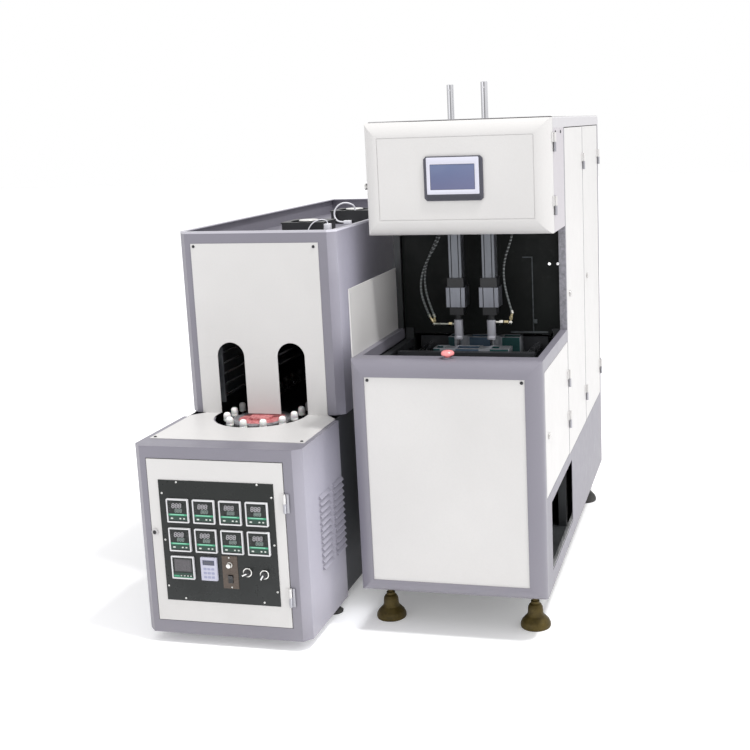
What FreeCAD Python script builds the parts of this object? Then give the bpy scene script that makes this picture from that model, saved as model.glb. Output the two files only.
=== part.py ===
import FreeCAD, Part
import os, math

V = FreeCAD.Vector
os.makedirs("parts", exist_ok=True)

# Blow moulding machine: blow and clamp unit (right) and infrared preform heater (left).
# Drawn in a working frame (x right, y away from the operator, z up, floor z = 0; x = 0 on the
# blow unit's centre, y = 0 on its front face) and shifted at export to the base's centre.
OX, OY = 350.5, -852.5          # shift to the row frame, mm

# ---- driving dimensions, mm -------------------------------------------------
T = 2.0                          # sheet
W = 323.0                        # blow unit half width
Z0, ZT, ZR = 146.0, 957.0, 1726.0   # underside, table rim, roof top
YB = 1620.0                      # rear face of the blow unit
RB = 48.0                        # round-over of the front bezel and operator box
BOX_Y0, BOX_Y1, BOX_Z0, BOX_Z1 = 262.0, 337.0, 1337.0, 1722.0
ST_X, ST_Y = 61.0, 490.0         # blow stations at x = +-61
ROD_R, TAIL_R = 7.0, 12.0        # stretch rod and its tail
FIT = 0.05                       # running fit, radial
HX0, HX1, HY0, HY1 = -1035.0, -441.0, -171.0, 1900.0   # heater
HZ0, HZ1, HZT = 37.0, 695.0, 1362.0                    # underside, table, tower rim
CX, CY, CR = -747.0, 245.0, 124.0                      # front chain wheel axis, chain radius
N_SP, PITCH = 52, 72.2                                 # spindles and their pitch
CY2 = CY + (N_SP * PITCH - 2 * math.pi * CR) / 2       # rear chain wheel axis
FANS = ((-730.0, 780.0), (-730.0, 1345.0))

nodes = {}


def box(x0, x1, y0, y1, z0, z1):
    return Part.makeBox(x1 - x0, y1 - y0, z1 - z0, V(x0, y0, z0))


def cyl(axis, a, b, r, lo, hi):
    if axis == "x":
        return Part.makeCylinder(r, hi - lo, V(lo, a, b), V(1, 0, 0))
    if axis == "y":
        return Part.makeCylinder(r, hi - lo, V(a, lo, b), V(0, 1, 0))
    return Part.makeCylinder(r, hi - lo, V(a, b, lo), V(0, 0, 1))


def fuse(items):
    s = items[0]
    return s.multiFuse(items[1:]).removeSplitter() if len(items) > 1 else s


def cut(s, items):
    return s.cut(items[0] if len(items) == 1 else Part.makeCompound(items))


def rev(pts, x, y, axis=V(0, 0, 1), base=None):
    """solid of revolution about a vertical axis: pts are (r, z)"""
    p = [V(r, 0, z) for r, z in pts]
    f = Part.Face(Part.makePolygon(p + [p[0]]))
    s = f.revolve(V(0, 0, 0), V(0, 0, 1), 360)
    s.translate(V(x, y, 0))
    return s


def prism(pts, plane, lo, hi):
    if plane == "xy":
        p = [V(a, b, lo) for a, b in pts]
        d = V(0, 0, hi - lo)
    elif plane == "xz":
        p = [V(a, lo, b) for a, b in pts]
        d = V(0, hi - lo, 0)
    else:
        p = [V(lo, a, b) for a, b in pts]
        d = V(hi - lo, 0, 0)
    s = Part.Face(Part.makePolygon(p + [p[0]])).extrude(d)
    return s


def front_edges(s, y, along):
    out = []
    for e in s.Edges:
        a, b = e.Vertexes[0].Point, e.Vertexes[-1].Point
        if abs(a.y - y) < 1e-6 and abs(b.y - y) < 1e-6:
            if along == "x" and abs(a.x - b.x) > 1e-3:
                out.append(e)
            if along == "z" and abs(a.z - b.z) > 1e-3:
                out.append(e)
    return out


def pillow(x0, x1, y0, y1, z0, z1, r):
    """box whose four front edges are rounded and meet in mitres"""
    a = box(x0, x1, y0, y1, z0, z1)
    a = a.makeFillet(r, front_edges(a, y0, "x"))
    b = box(x0, x1, y0, y1, z0, z1)
    b = b.makeFillet(r, front_edges(b, y0, "z"))
    return a.common(b)


def put(name, shape):
    if isinstance(shape, (list, tuple)):
        shape = Part.makeCompound(list(shape))
    nodes[name] = shape


def place(s, x, y, z, turn=0.0):
    s = s.copy()
    s.rotate(V(0, 0, 0), V(0, 0, 1), turn)
    s.translate(V(x, y, z))
    return s


# ---- standard pieces: hinge and lock, outward +x, door on the -y side ---------
HL = 64.0      # hinge length


def hinge_moving(wide=32):
    k = Part.makeCylinder(5, HL / 2, V(0, 0, 0))
    leaf = box(-6, -3, -wide, -3, 0, HL / 2)
    s = k.fuse(leaf).cut(Part.makeCylinder(2.5 + FIT, HL / 2, V(0, 0, 0)))
    return s.removeSplitter()


def hinge_fixed(kind, wide=30):
    k = Part.makeCylinder(5, HL / 2 - 0.5, V(0, 0, -HL / 2))
    pin = Part.makeCylinder(2.5, HL, V(0, 0, -HL / 2))
    if kind == "plate":
        low = box(-6, -3, 3, wide, -HL / 2, -0.5)
        high = box(-6, -3, 7, wide, -0.5, HL / 2)
        return fuse([k, pin, low, high])
    reach, inner = kind
    web = box(inner, 0, -1.75, 1.75, -HL / 2, -0.5)
    foot = box(inner, -27, -1.75, reach, -HL / 2, -0.5)
    return fuse([k, pin, web, foot])


def lock(reach):
    head = Part.makeCylinder(11, 5.5, V(0.4, 0, 0), V(1, 0, 0))
    e = [e for e in head.Edges if e.Curve.TypeId == "Part::GeomCircle"
         and abs(e.BoundBox.XMin - 5.9) < 0.01 and abs(e.BoundBox.XMax - 5.9) < 0.01]
    if e:
        head = head.makeFillet(1.6, e)
    slot = box(4.6, 7, -1.2, 1.2, -6, 6)
    shaft = Part.makeCylinder(6, 25.0, V(-24.5, 0, 0), V(1, 0, 0))
    cam = box(-24.5, -21.5, -6, 6, -reach, 6)
    return fuse([head, shaft, cam]).cut(slot)


def pan(x_in, x_out, y0, y1, z0, z1, hole=None):
    """folded door pan, open towards x_in"""
    s = box(x_in, x_out, y0, y1, z0, z1).cut(box(x_in - 5, x_out - T, y0 + T, y1 - T, z0 + T, z1 - T))
    if hole:
        s = s.cut(cyl("x", hole[0], hole[1], 6 + FIT, x_out - T - 1, x_out + 1))
    return s


# ============================ blow and clamp unit =============================
P0, P1 = 267.0, 297.0            # posts and rails between these |x|
bars = []
for s in (-1, 1):
    def bx(y0, y1, z0, z1, a=P0, b=P1):
        x0, x1 = (a, b) if s > 0 else (-b, -a)
        bars.append(box(x0, x1, y0, y1, z0, z1))
    bx(64, 94, 176, 915)                     # front post
    bx(650, 680, 176, 446)                   # lower middle post
    bx(608, 638, 476, 1684)                  # upper middle post
    bx(1072, 1102, 476, 1654)                # centre post
    bx(1588, 1618, 176, 1684)                # rear post
    bx(64, 1618, 146, 176)                   # bottom rail
    bx(94, 1588, 446, 476)                   # sill rail
    bx(638, 1588, 1654, 1684)                # top rail
    bx(94, 608, 885, 915)                    # table rail
    bx(580, 594, 957, 1686, 298, 323)        # visible upper upright
    bx(122, 172, 146, 158, 230, 267)         # foot plates
    bx(1448, 1498, 146, 158, 230, 267)
for y0, z0 in ((64, 146), (650, 146), (1588, 146), (608, 1654), (1588, 1654),
               (120, 446), (560, 446), (1000, 446)):
    bars.append(box(-P0, P0, y0, y0 + 30, z0, z0 + 30))
bars.append(box(-265, 265, 100, 1050, 476, 501))          # bed plate
bars += [box(-P0, P0, 94, 650, 172, 174), box(-P0, P0, 680, 1588, 172, 174)]   # floor sheets
# keepers of the three side door locks
for y0, y1, yp, zc in ((70, 92, 80, 686), (610, 640, 620, 1078), (1080, 1118, 1092, 1076)):
    bars += [box(297, 303, y0, yp, zc - 16, zc + 16), box(303, 306, y0, y1, zc - 16, zc + 16)]
put("blower_frame", bars)

bez = pillow(-W, W, 0, 90, Z0, ZT, RB).cut(pillow(-W + 3, W - 3, 3, 95, Z0 + 3, ZT - 3, RB - 3))
bez = cut(bez, [box(-268.5, 268.5, -1, 10, 197, 901.5), box(-330, 330, 60, 91, 140, 914),
                cyl("z", 5, 57, 10.6, 940, 960)])
rim = [bez, box(-300, 300, 87, 90, 920, 957)]
for s in (-1, 1):
    x = lambda a, b: (a, b) if s > 0 else (-b, -a)
    rim += [box(*x(321, 323), 60, 594, 914, 957), box(*x(298, 323), 88, 594, 954, 957),
            box(*x(298, 300.5), 88, 594, 920, 957)]
rim.append(cyl("z", 5, 57, 15, 955, 962).cut(cyl("z", 5, 57, 10.6, 950, 965)))
put("front_bezel", fuse(rim))
fp = box(-274.5, 274.5, 3, 13, 194.5, 908.5).cut(box(-272.5, 272.5, 5, 14, 196.5, 906.5))
put("front_panel", fp)

sp = box(W - T, W, 60, YB, Z0, 479)
sp = fuse([sp, box(W - T, W, 60, 597, 478, 486), box(W - T, W, 594, 597, 478, 1686),
           box(W - T, W, 1089.5, 1092.5, 478, 1686), box(W - T, W, 1595, YB, 478, 1686)])
sp = cut(sp, [box(300, 330, 154, 648, 202, 444)])
put("side_panel_right", sp)
put("rear_left_cladding", fuse([box(-W, -W + T, 60, 594, Z0, 914), box(-W, -W + T, 594, YB, Z0, 1686),
                                box(-W + 1, W - T, YB - T, YB, Z0, 1686)]))
put("guard_panel", box(-W, -W + 4, 49, 580, ZT, 1187))
put("back_wall", fuse([box(-298, 298, 604, 608, ZT, 1654), box(-262, 262, 604, 608, 935, ZT),
                       box(110, 250, 599, 604, 940, 946), box(194, 198, 600, 604, 946, 1224), box(160, 194, 600, 604, 1220, 1224),
                       box(198, 210, 596, 604, 977, 991), cyl("y", 260, 1197, 5, 600.5, 604), cyl("y", 291, 1197, 5, 600.5, 604)]))
roof = box(-W, W, BOX_Y1, 1629, 1686, ZR)
e = [e for e in roof.Edges if abs(e.BoundBox.ZMin - ZR) < 0.01 and e.BoundBox.YLength > 100]
roof = roof.makeFillet(8, e)
roof = cut(roof, [box(-W + T, W - T, BOX_Y1 - 1, 1629 - T, 1685, ZR - T),
                  cyl("z", -ST_X, ST_Y, 16, 1700, 1740), cyl("z", ST_X, ST_Y, 16, 1700, 1740)])
put("roof_panel", roof)

shell = [box(-W, -W + T, BOX_Y1, 580, BOX_Z0, 1686), box(W - T, W, BOX_Y1, 580, BOX_Z0, 1686),
         box(-W, W, BOX_Y1, 580, BOX_Z0, BOX_Z0 + T)]
shell = fuse(shell)
shell = cut(shell, [box(s * ST_X - 25, s * ST_X + 25, ST_Y - 25, ST_Y + 25, 1330, 1345) for s in (-1, 1)]
            + [box(-150, -88, 470, 510, 1330, 1345), box(110, 165, 470, 510, 1330, 1345)])
put("control_box_shell", shell)
DY1 = 335.0
cd = pillow(-W, W, BOX_Y0, DY1, BOX_Z0, BOX_Z1, RB).cut(
    pillow(-W + 3, W - 3, BOX_Y0 + 3, DY1 + 5, BOX_Z0 + 3, BOX_Z1 - 3, RB - 3))
groove = box(-270, 270, BOX_Y0 - 1, BOX_Y0 + 1, 1391, 1670).cut(box(-268, 268, BOX_Y0 - 2, BOX_Y0 + 2, 1393, 1668))
cd = cut(cd, [groove, box(-99, 91, BOX_Y0 - 1, BOX_Y0 + 5, 1463, 1598),
              cyl("x", 300, 1507, 6 + FIT, -W - 1, -W + 9)])
HB = (329.0, 338.0)              # axis of the operator box hinge
cd = fuse([cd] + [place(hinge_moving(), HB[0], HB[1], z) for z in (1428, 1640)])
put("control_box_door", cd)
op = fuse([box(-106, 98, 254, BOX_Y0, 1456, 1605), box(-99, 91, BOX_Y0 - 1, 306, 1463, 1598)])
op = cut(op, [box(-84, 73, 253, 255.5, 1494, 1577)])
put("operator_panel", op)
put("box_latch", place(lock(46), -W, 300, 1507, 180))

H1, H2, H3 = (329.0, 591.5), (329.0, 1087.0), (329.0, 1592.0)
LZ, TZ = (617, 773), (600, 1547)
ld = pan(309, W, 62, 588.5, 488, 912, (121, 686))
put("lower_side_door", fuse([ld] + [place(hinge_moving(), H1[0], H1[1], z) for z in LZ]))
td = pan(309, W, 598, 1084, 481, 1683, (666, 1078))
put("front_tall_door", fuse([td] + [place(hinge_moving(), H2[0], H2[1], z) for z in TZ]))
td = pan(309, W, 1093.5, 1589, 481, 1683, (1172, 1076))
put("rear_tall_door", fuse([td] + [place(hinge_moving(), H3[0], H3[1], z) for z in TZ]))
put("lower_door_lock", place(lock(37), W, 121, 686))
put("front_door_lock", place(lock(37), W, 666, 1078))
put("rear_door_lock", place(lock(66), W, 1172, 1076))

bp = box(-297, 297, 430, 604, 1341, 1361)
bp = cut(bp, [box(s * ST_X - 24.1, s * ST_X + 24.1, ST_Y - 24.1, ST_Y + 24.1, 1335, 1365) for s in (-1, 1)]
         + [box(-160, -88, 420, 515, 1335, 1365), box(110, 175, 420, 515, 1335, 1365)])
put("bridge_plate", bp)


def profile(cx, cy, a, z0, z1, g=3.0, gx=0.55):
    """extruded aluminium barrel: square with two grooves in each side and rounded corners"""
    s = box(cx - a, cx + a, cy - a, cy + a, z0, z1)
    vert = [e for e in s.Edges if abs(e.BoundBox.ZLength - (z1 - z0)) < 0.01]
    s = s.makeFillet(3.0, vert)
    t = []
    for k in (-1, 1):
        c = k * a * gx
        t += [box(cx + c - 1.6, cx + c + 1.6, cy - a - 1, cy - a + g, z0 - 1, z1 + 1),
              box(cx + c - 1.6, cx + c + 1.6, cy + a - g, cy + a + 1, z0 - 1, z1 + 1),
              box(cx - a - 1, cx - a + g, cy + c - 1.6, cy + c + 1.6, z0 - 1, z1 + 1),
              box(cx + a - g, cx + a + 1, cy + c - 1.6, cy + c + 1.6, z0 - 1, z1 + 1)]
    return cut(s, t)


barrels, seals = [], []
for s in (-1, 1):
    cx = s * ST_X
    b = profile(cx, ST_Y, 24, 1165, 1545)
    b = cut(b, [cyl("z", cx, ST_Y, 20, 1180, 1530), cyl("z", cx, ST_Y, ROD_R + FIT, 1160, 1190),
                cyl("z", cx, ST_Y, TAIL_R + FIT, 1525, 1550)])
    barrels.append(b)
    head = rev([(0, 938), (17.5, 938), (17.5, 946), (16, 950), (16, 1008), (13, 1012), (13, 1030), (0, 1030)], cx, ST_Y)
    q = fuse([box(cx - 30, cx + 30, ST_Y - 30, ST_Y + 30, 1131, 1165), profile(cx, ST_Y, 36, 1060, 1131, 3.5),
              box(cx - 25, cx + 25, ST_Y - 25, ST_Y + 25, 1030, 1060), head])
    q = cut(q, [cyl("z", cx, ST_Y, 8.5, 1000, 1170), cyl("z", cx, ST_Y, 11 + FIT, 930, 1012)])
    seals.append(q)
    rod = rev([(0, 850), (5, 850), (ROD_R, 853), (ROD_R, 1500), (19.4, 1500), (19.4, 1524), (TAIL_R, 1524),
               (TAIL_R, (1846 if s < 0 else 1852) - 1.5), (TAIL_R - 1.5, 1846 if s < 0 else 1852),
               (0, 1846 if s < 0 else 1852)], cx, ST_Y)
    rod = rod.cut(cyl("y", cx, 1826 if s < 0 else 1832, 3, ST_Y - 20, ST_Y + 20))
    put("stretch_rod_left" if s < 0 else "stretch_rod_right", rod)
    noz = rev([(ROD_R + 0.6, 945), (9.6, 945), (11, 947), (11, 1003), (ROD_R + 0.6, 1003)], cx, ST_Y)
    put("blow_nozzle_left" if s < 0 else "blow_nozzle_right", noz)
put("stretch_cylinders", barrels)
put("seal_cylinders", seals)


# hoses from the operator box to the seal heads: straight runs joined by tangent arcs
def route_tube(pts, r):
    P = [V(*p) for p in pts]
    n = len(P)
    runs = [(P[i + 1] - P[i]).Length for i in range(n - 1)]
    edges, last, radii = [], P[0], []
    for i in range(1, n - 1):
        a, b = (P[i - 1] - P[i]).normalize(), (P[i + 1] - P[i]).normalize()
        turn = math.pi - a.getAngle(b)
        rad = 0.45 * min(runs[i - 1], runs[i]) / math.tan(turn / 2)
        radii.append(round(rad, 1))
        t = 0.45 * min(runs[i - 1], runs[i])
        p0, p1 = P[i] + a * t, P[i] + b * t
        bis = (a + b).normalize()
        c = P[i] + bis * (rad / math.cos(turn / 2))
        mid = c - bis * rad
        edges.append(Part.LineSegment(last, p0).toShape())
        edges.append(Part.Arc(p0, mid, p1).toShape())
        last = p1
    edges.append(Part.LineSegment(last, P[-1]).toShape())
    wire = Part.Wire(edges)
    d = (P[1] - P[0]).normalize()
    prof = Part.Wire(Part.makeCircle(r, P[0], d))
    tube = wire.makePipeShell([prof], True, False)
    print("tube radii", radii, "length", round(wire.Length, 1), "valid", tube.isValid(), "volume ratio",
          round(tube.Volume / (math.pi * r * r * wire.Length), 4))
    return tube


HR = 4.0
hose_l = [(-108, 490, 1380), (-112, 489, 1330), (-134, 486, 1280), (-166, 483, 1232), (-190, 482, 1178),
          (-198, 483, 1124), (-189, 485, 1073), (-172, 489, 1028)]
hose_m = [(-118, 503, 1380), (-124, 503, 1330), (-144, 502, 1283), (-169, 500, 1234), (-184, 498, 1180),
          (-184, 496, 1127), (-172, 494, 1075), (-154, 491, 1028)]
hose_r = [(152, 490, 1380), (150, 489, 1336), (139, 487, 1288), (121, 485, 1242), (112, 484, 1192),
          (114, 485, 1140), (124, 487, 1089), (136, 490, 1044)]
put("air_hoses", [route_tube(h, HR) for h in (hose_l, hose_m, hose_r)])


def stick(p, q, r):
    p, q = V(*p), V(*q)
    return Part.makeCylinder(r, (q - p).Length, p, q - p)


def ferrule(route, to, r):
    """sleeve square on the end of a hose, and the stem from it to the elbow"""
    a, b = V(*route[-2]), V(*route[-1])
    d = (b - a).normalize()
    return [Part.makeCylinder(r, 13, b, d), stick(b + d * 9, to, r - 1.5)]


fl = fuse([cyl("x", ST_Y, 992, 5.5, -152, -70), cyl("x", ST_Y, 992, 8, -96, -84),
           Part.makeSphere(8, V(-152, ST_Y, 992))] + ferrule(hose_l, (-152, 490, 992), 6)
          + ferrule(hose_m, (-152, 490, 992), 6))
fr = fuse([cyl("x", ST_Y, 1000, 5.5, 70, 131), cyl("x", ST_Y, 1000, 9.5, 88, 104),
           Part.makeSphere(8.5, V(131, ST_Y, 1000))] + ferrule(hose_r, (131, 490, 1000), 6.5))
trim = [cyl("z", -ST_X, ST_Y, 16.05, 930, 1040), cyl("z", ST_X, ST_Y, 16.05, 930, 1040)]
put("hose_fittings", [cut(fl, trim), cut(fr, trim)])

# clamp: two platens on four tie bars, front one moves back and rear one moves forward
TB = [(sx * 205.0, z) for sx in (-1, 1) for z in (560.0, 885.0)]
ends = []
for y0, y1 in ((150, 175), (850, 880)):
    ends.append(cut(box(-245, 245, y0, y1, 501, 915), [cyl("y", x, z, 16, y0 - 1, y1 + 1) for x, z in TB]))
put("tie_bars", ends + [cyl("y", x, z, 16, 140, 890) for x, z in TB])


def platen(y0, y1):
    s = box(-245, 245, y0, y1, 520, 922)
    return cut(s, [cyl("y", x, z, 16 + FIT, y0 - 1, y1 + 1) for x, z in TB])


fpn = fuse([platen(320, 350), cyl("y", 0, 700, 16, 196, 320), cyl("y", 0, 700, 44.4, 186, 196)])
put("platen_front", fpn)
rpn = fuse([platen(630, 660), cyl("y", 0, 700, 16, 660, 820), cyl("y", 0, 700, 44.4, 820, 830)])
put("platen_rear", rpn)
put("clamp_cylinders", [
    cut(cyl("y", 0, 700, 56, 175, 298), [cyl("y", 0, 700, 45, 181, 284), cyl("y", 0, 700, 16 + FIT, 280, 300)]),
    cut(cyl("y", 0, 700, 56, 695, 850), [cyl("y", 0, 700, 45, 709, 844), cyl("y", 0, 700, 16 + FIT, 690, 712)])])


def mould(y0, y1, face, tops):
    s = box(-122, 152, y0, y1, 570, 930)
    c = []
    for sx in (-1, 1):
        x = sx * ST_X
        c.append(rev([(0, 600), (36, 600), (46, 612), (46, 820), (15.5, 890), (15.5, 935), (0, 935)], x, face))
    return cut(s, c + tops)


mf_top = [box(-116, -84, 357, 402, 884, 935), box(-40, 40, 357, 402, 884, 935), box(84, 112, 357, 402, 884, 935)]
put("mould_half_front", mould(350, 409.7, 410, mf_top))
mr_top = [box(-116, -84, 578, 622, 884, 935), box(-40, 40, 578, 622, 884, 935), box(84, 146, 578, 622, 884, 935)]
put("mould_half_rear", mould(570.3, 630, 570, mr_top))

but = rev([(0, 940), (10, 940), (10, 968), (19, 968), (21.5, 970.5), (22, 974), (20.5, 978.5), (16, 982), (9, 984), (0, 984.6)], 5, 57)
put("red_button", but)

foot_pts = [(0, 0), (51, 0), (52.5, 4), (52, 12), (47, 23), (38, 33), (30, 41), (27, 49), (26.5, 60), (25.5, 70), (21, 79),
            (15, 84), (15, 92), (9.5, 92), (9.5, 128), (16, 128), (16, 146), (0, 146)]
feet = [rev(foot_pts, sx * 259, y) for sx in (-1, 1) for y in (147, 1473)]
small = [(0, 0), (30, 0), (31, 5), (22, 13), (11, 17), (8, 17), (8, 37), (0, 37)]
feet += [rev(small, x, y) for x, y in ((-964, -35), (-512, -35), (-1000, 152), (-474, 152))]
feet += [rev(small, x, y) for x in (-1000, -476) for y in (1000, 1850)]
put("levelling_feet", feet)

# ============================ preform heater =================================
CH = 27.0                        # folded corner of the heater's sheets, 45 degrees
cab = box(HX0, HX1, HY0, 207, HZ0, HZ1)
cab = cab.makeChamfer(CH, front_edges(cab, HY0, "z"))
inn = box(HX0 + T, HX1 - T, HY0 + T, 215, HZ0 + T, HZ1 - T)
inn = inn.makeChamfer(CH - 0.5858 * T, front_edges(inn, HY0 + T, "z"))
cab = cab.cut(inn)
# rear edges folded inwards, so that they cover the step down to the narrower base
cab = fuse([cab, box(HX0 + T, HX0 + 32, 207 - T, 207, HZ0 + T, HZ1 - T), box(HX1 - 32, HX1 - T, 207 - T, 207, HZ0 + T, HZ1 - T)])
cab = cut(cab, [box(-986, -500, HY0 - 1, HY0 + 5, 82, 654), cyl("z", CX, CY, 165, 680, 700)])
louv, slots = [], []
for yc0, yc1 in ((-22, 72), (112, 203)):
    for k in range(12):
        z = 232 + k * 22.6
        h = prism([(HX1 - 1, z + 12), (HX1 + 0.5, z + 12.5), (HX1 + 9, z + 1.5), (HX1 + 9, z - 1), (HX1 + 7.4, z - 1),
                   (HX1 + 7.4, z + 1), (HX1 - 0.6, z + 10.5)], "xz", yc0, yc1)
        end = [(HX1 - 1, z - 1), (HX1 - 1, z + 12), (HX1 + 0.5, z + 12.5), (HX1 + 9, z + 1.5), (HX1 + 9, z - 1)]
        louv += [h, prism(end, "xz", yc0, yc0 + 1.5), prism(end, "xz", yc1 - 1.5, yc1)]
        slots.append(box(HX1 - 5, HX1 + 0.01, yc0 + 1.5, yc1 - 1.5, z - 1, z + 10))
cab = cut(cab, slots)
cab = cab.multiFuse(louv).removeSplitter()
put("heater_cabinet", cab)

RX0, RX1, RY0, RY1 = -1020.0, -456.0, 207.0, 1885.0
DECK = 606.0
bores = [cyl("z", CX, y, 15 + FIT, DECK - 10, 650) for y in (CY, CY2)]
base = [box(a, a + 3, y0, y1, HZ0, z1) for a in (RX0, RX1 - 3)
        for y0, y1, z1 in ((RY0, 265, HZ1), (265, RY1, HZ1 + T))]
base += [box(RX0 + 3, RX1 - 3, RY1 - 3, RY1, HZ0, HZ1 + T), box(RX0 + 3, RX1 - 3, RY0, RY0 + 3, HZ0 + 3, DECK - 6),
         cut(box(RX0 + 3, RX1 - 3, RY0, RY1 - 3, DECK - 6, DECK), bores),
         box(RX0 + 3, RX1 - 3, RY0, RY1 - 3, HZ0, HZ0 + 3)]
base += [cyl("z", CX, y, 28, DECK, 646).cut(b) for y, b in zip((CY, CY2), bores)]
put("heater_rear_base", base)

DF = -173.0                       # heater door face
hd = box(-984, -502, DF, DF + 14, 84, 652).cut(box(-982, -504, DF + T, DF + 15, 86, 650))
hd = cut(hd, [box(-932, -552, DF - 1, DF + 5, 172, 568), cyl("y", -972, 397, 6 + FIT, DF - 1, DF + 5)])
HH = (-499.0, DF - 6.0)
hd = fuse([hd] + [place(hinge_moving(15), HH[0], HH[1], z, -90) for z in (193, 517)])
put("heater_door", hd)
put("heater_door_lock", place(lock(37), -972, DF, 397, -90))

put("door_hinges", [place(hinge_fixed("plate"), HB[0], HB[1], z) for z in (1428, 1640)]
    + [place(hinge_fixed((608 - H1[1], -37)), H1[0], H1[1], z) for z in LZ]
    + [place(hinge_fixed((1102 - H2[1], -32)), H2[0], H2[1], z) for z in TZ]
    + [place(hinge_fixed("plate"), H3[0], H3[1], z) for z in TZ]
    + [place(hinge_fixed("plate", 15), HH[0], HH[1], z, -90) for z in (193, 517)])

PF = DF - T                        # instrument plate face
KN = {"left": (-646.0, 273.0), "right": (-586.0, 269.0)}
REG, ROCK = (-708.0, 296.0), (-708.0, 246.0)
meters = []
for j, z0 in enumerate((436, 335)):
    for i in range(4):
        meters.append((-919 + 94 * i, -841 + 94 * i, z0, z0 + 82))
meters += [(-918, -836, 238, 318), (-811, -753, 238, 319)]
ip = box(-946, -537, PF, DF, 158, 581)
holes = [box(a + 4, b - 4, PF - 1, DF + 1, c + 4, d - 4) for a, b, c, d in meters]
holes += [cyl("y", x, z, 4 + FIT, PF - 1, DF + 1) for x, z in list(KN.values()) + [REG]]
holes += [box(ROCK[0] - 9, ROCK[0] + 9, PF - 1, DF + 1, ROCK[1] - 14, ROCK[1] + 14)]
rp = box(-736, -681, PF - 2, PF, 212, 326)
put("instrument_plate", cut(fuse([ip, rp]), holes + [cyl("y", REG[0], REG[1], 4 + FIT, PF - 3, DF + 1),
                                                     box(ROCK[0] - 9, ROCK[0] + 9, PF - 3, DF + 1, ROCK[1] - 14, ROCK[1] + 14)]))
mt = []
for a, b, c, d in meters:
    rim_ = box(a, b, PF - 9, PF, c, d).cut(box(a + 6, b - 6, PF - 10, PF - 6, c + 6, d - 6))
    mt.append(fuse([rim_, box(a + 4, b - 4, PF - 1, PF + 75, c + 4, d - 4)]))
put("temp_controllers", mt)


def knob(x, z, r, y_face, ln, mark=True):
    s = fuse([cyl("y", x, z, r, y_face - ln, y_face - 0.6), cyl("y", x, z, 4, y_face - 1, DF + 16)])
    e = [e for e in s.Edges if e.BoundBox.YLength < 0.01 and abs(e.BoundBox.YMin - (y_face - ln)) < 0.01]
    s = s.makeFillet(1.5, e)
    if mark:
        s = s.fuse(box(x - 3.5, x + 3.5, y_face - ln - 6, y_face - ln + 1, z - r + 1, z + r - 1))
    return s.removeSplitter()


put("selector_left", knob(*KN["left"], 16.5, PF, 14))
put("selector_right", knob(*KN["right"], 16.5, PF, 14))
put("regulator_knob", knob(*REG, 10.5, PF - 2, 15, False))
rk = prism([(PF - 2 - 4.0, ROCK[1] - 13), (PF - 2 - 1.0, ROCK[1]), (PF - 2 - 6.0, ROCK[1] + 13), (PF + 8, ROCK[1] + 11), (PF + 8, ROCK[1] - 11)],
           "yz", ROCK[0] - 8.4, ROCK[0] + 8.4)
put("rocker_switch", fuse([rk, cyl("x", PF + 2, ROCK[1], 2, ROCK[0] - 8.8, ROCK[0] + 8.8)]))

tp = prism([(-1014, -85), (-456, -85), (-456, 217), (-500, 265), (-970, 265), (-1014, 217)], "xy", HZ1, HZ1 + T)
put("top_plate", cut(tp, [cyl("z", CX, CY, 170, 690, 700)]))

TR, YJ, ZJ = 1293.0, 312.0, 1288.0   # tray floor; where the bent front meets the flat walls, and its header


def bent(y1, z0, z1, inset):
    """sheet folded at 45 degrees at both front corners, inset by so much from the outside"""
    b = box(HX0 + inset, HX1 - inset, 265 + inset, y1, z0, z1)
    return b.makeChamfer(CH - 0.5858 * inset, front_edges(b, 265 + inset, "z"))


front = bent(700, HZ1 + T, HZT, 0).cut(bent(710, HZ1 - 5, HZT + 5, T))
front = front.cut(box(-968, -518, 260, 270, 690, ZJ))
tray = bent(700, TR, TR + T, 1)
lip = bent(700, HZT - 2.5, HZT, 1).cut(bent(710, HZT - 5, HZT + 5, 16))
head = fuse([front.common(box(HX0 - 1, HX1 + 1, 260, YJ, ZJ, HZT + 1)), tray.common(box(HX0 - 1, HX1 + 1, 260, YJ, TR - 1, TR + 5)),
             lip.common(box(HX0 - 1, HX1 + 1, 260, YJ, HZT - 5, HZT + 1))])
parts_ = [head, front.common(box(HX0 - 1, -900, 260, YJ, 690, ZJ)), front.common(box(-600, HX1 + 1, 260, YJ, 690, ZJ)),
          box(HX0, HX0 + T, YJ, HY1, HZ1 + T, HZT), box(HX1 - T, HX1, YJ, HY1, HZ1 + T, HZT),
          box(HX0 + T, HX1 - T, HY1 - T, HY1, HZ1 + T, HZT),
          cut(box(HX0 + T, HX1 - T, YJ, HY1 - T, TR, TR + T), [cyl("z", x, y, 71, TR - 5, TR + 5) for x, y in FANS]),
          box(HX0 + T, HX0 + 16, YJ, HY1 - T, HZT - 2.5, HZT), box(HX1 - 16, HX1 - T, YJ, HY1 - T, HZT - 2.5, HZT),
          box(HX0 + 16, HX1 - 16, HY1 - 16, HY1 - T, HZT - 2.5, HZT),
          box(HX0 + T, HX0 + 30, YJ, HY1 - T, HZ1 + T, HZ1 + 4), box(HX1 - 30, HX1 - T, YJ, HY1 - T, HZ1 + T, HZ1 + 4),
          box(HX0 + 30, HX1 - 30, HY1 - 25, HY1 - T, HZ1 + T, HZ1 + 4)]
LAMP_X, LAMP_Z = (-933.0, -561.0), [745 + 40 * k for k in range(7)]
for y0, y1 in ((322, 331), (1640, 1649)):
    parts_ += [box(HX0 + T, -921, y0, y1, 722, 1008), box(-573, HX1 - T, y0, y1, 722, 1008)]
put("tower_shell", parts_)
arch, strips, x0 = [], [], -985.0
for s in (-1, 1):
    xc = CX + 4 + s * 116
    arch.append(cyl("y", xc, 908, 52, 255, 275))
    strips.append(box(x0, xc - 52, 262.5, 265, HZ1 + T, 908))
    x0 = xc + 52
strips.append(box(x0, -501, 262.5, 265, HZ1 + T, 908))
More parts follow.
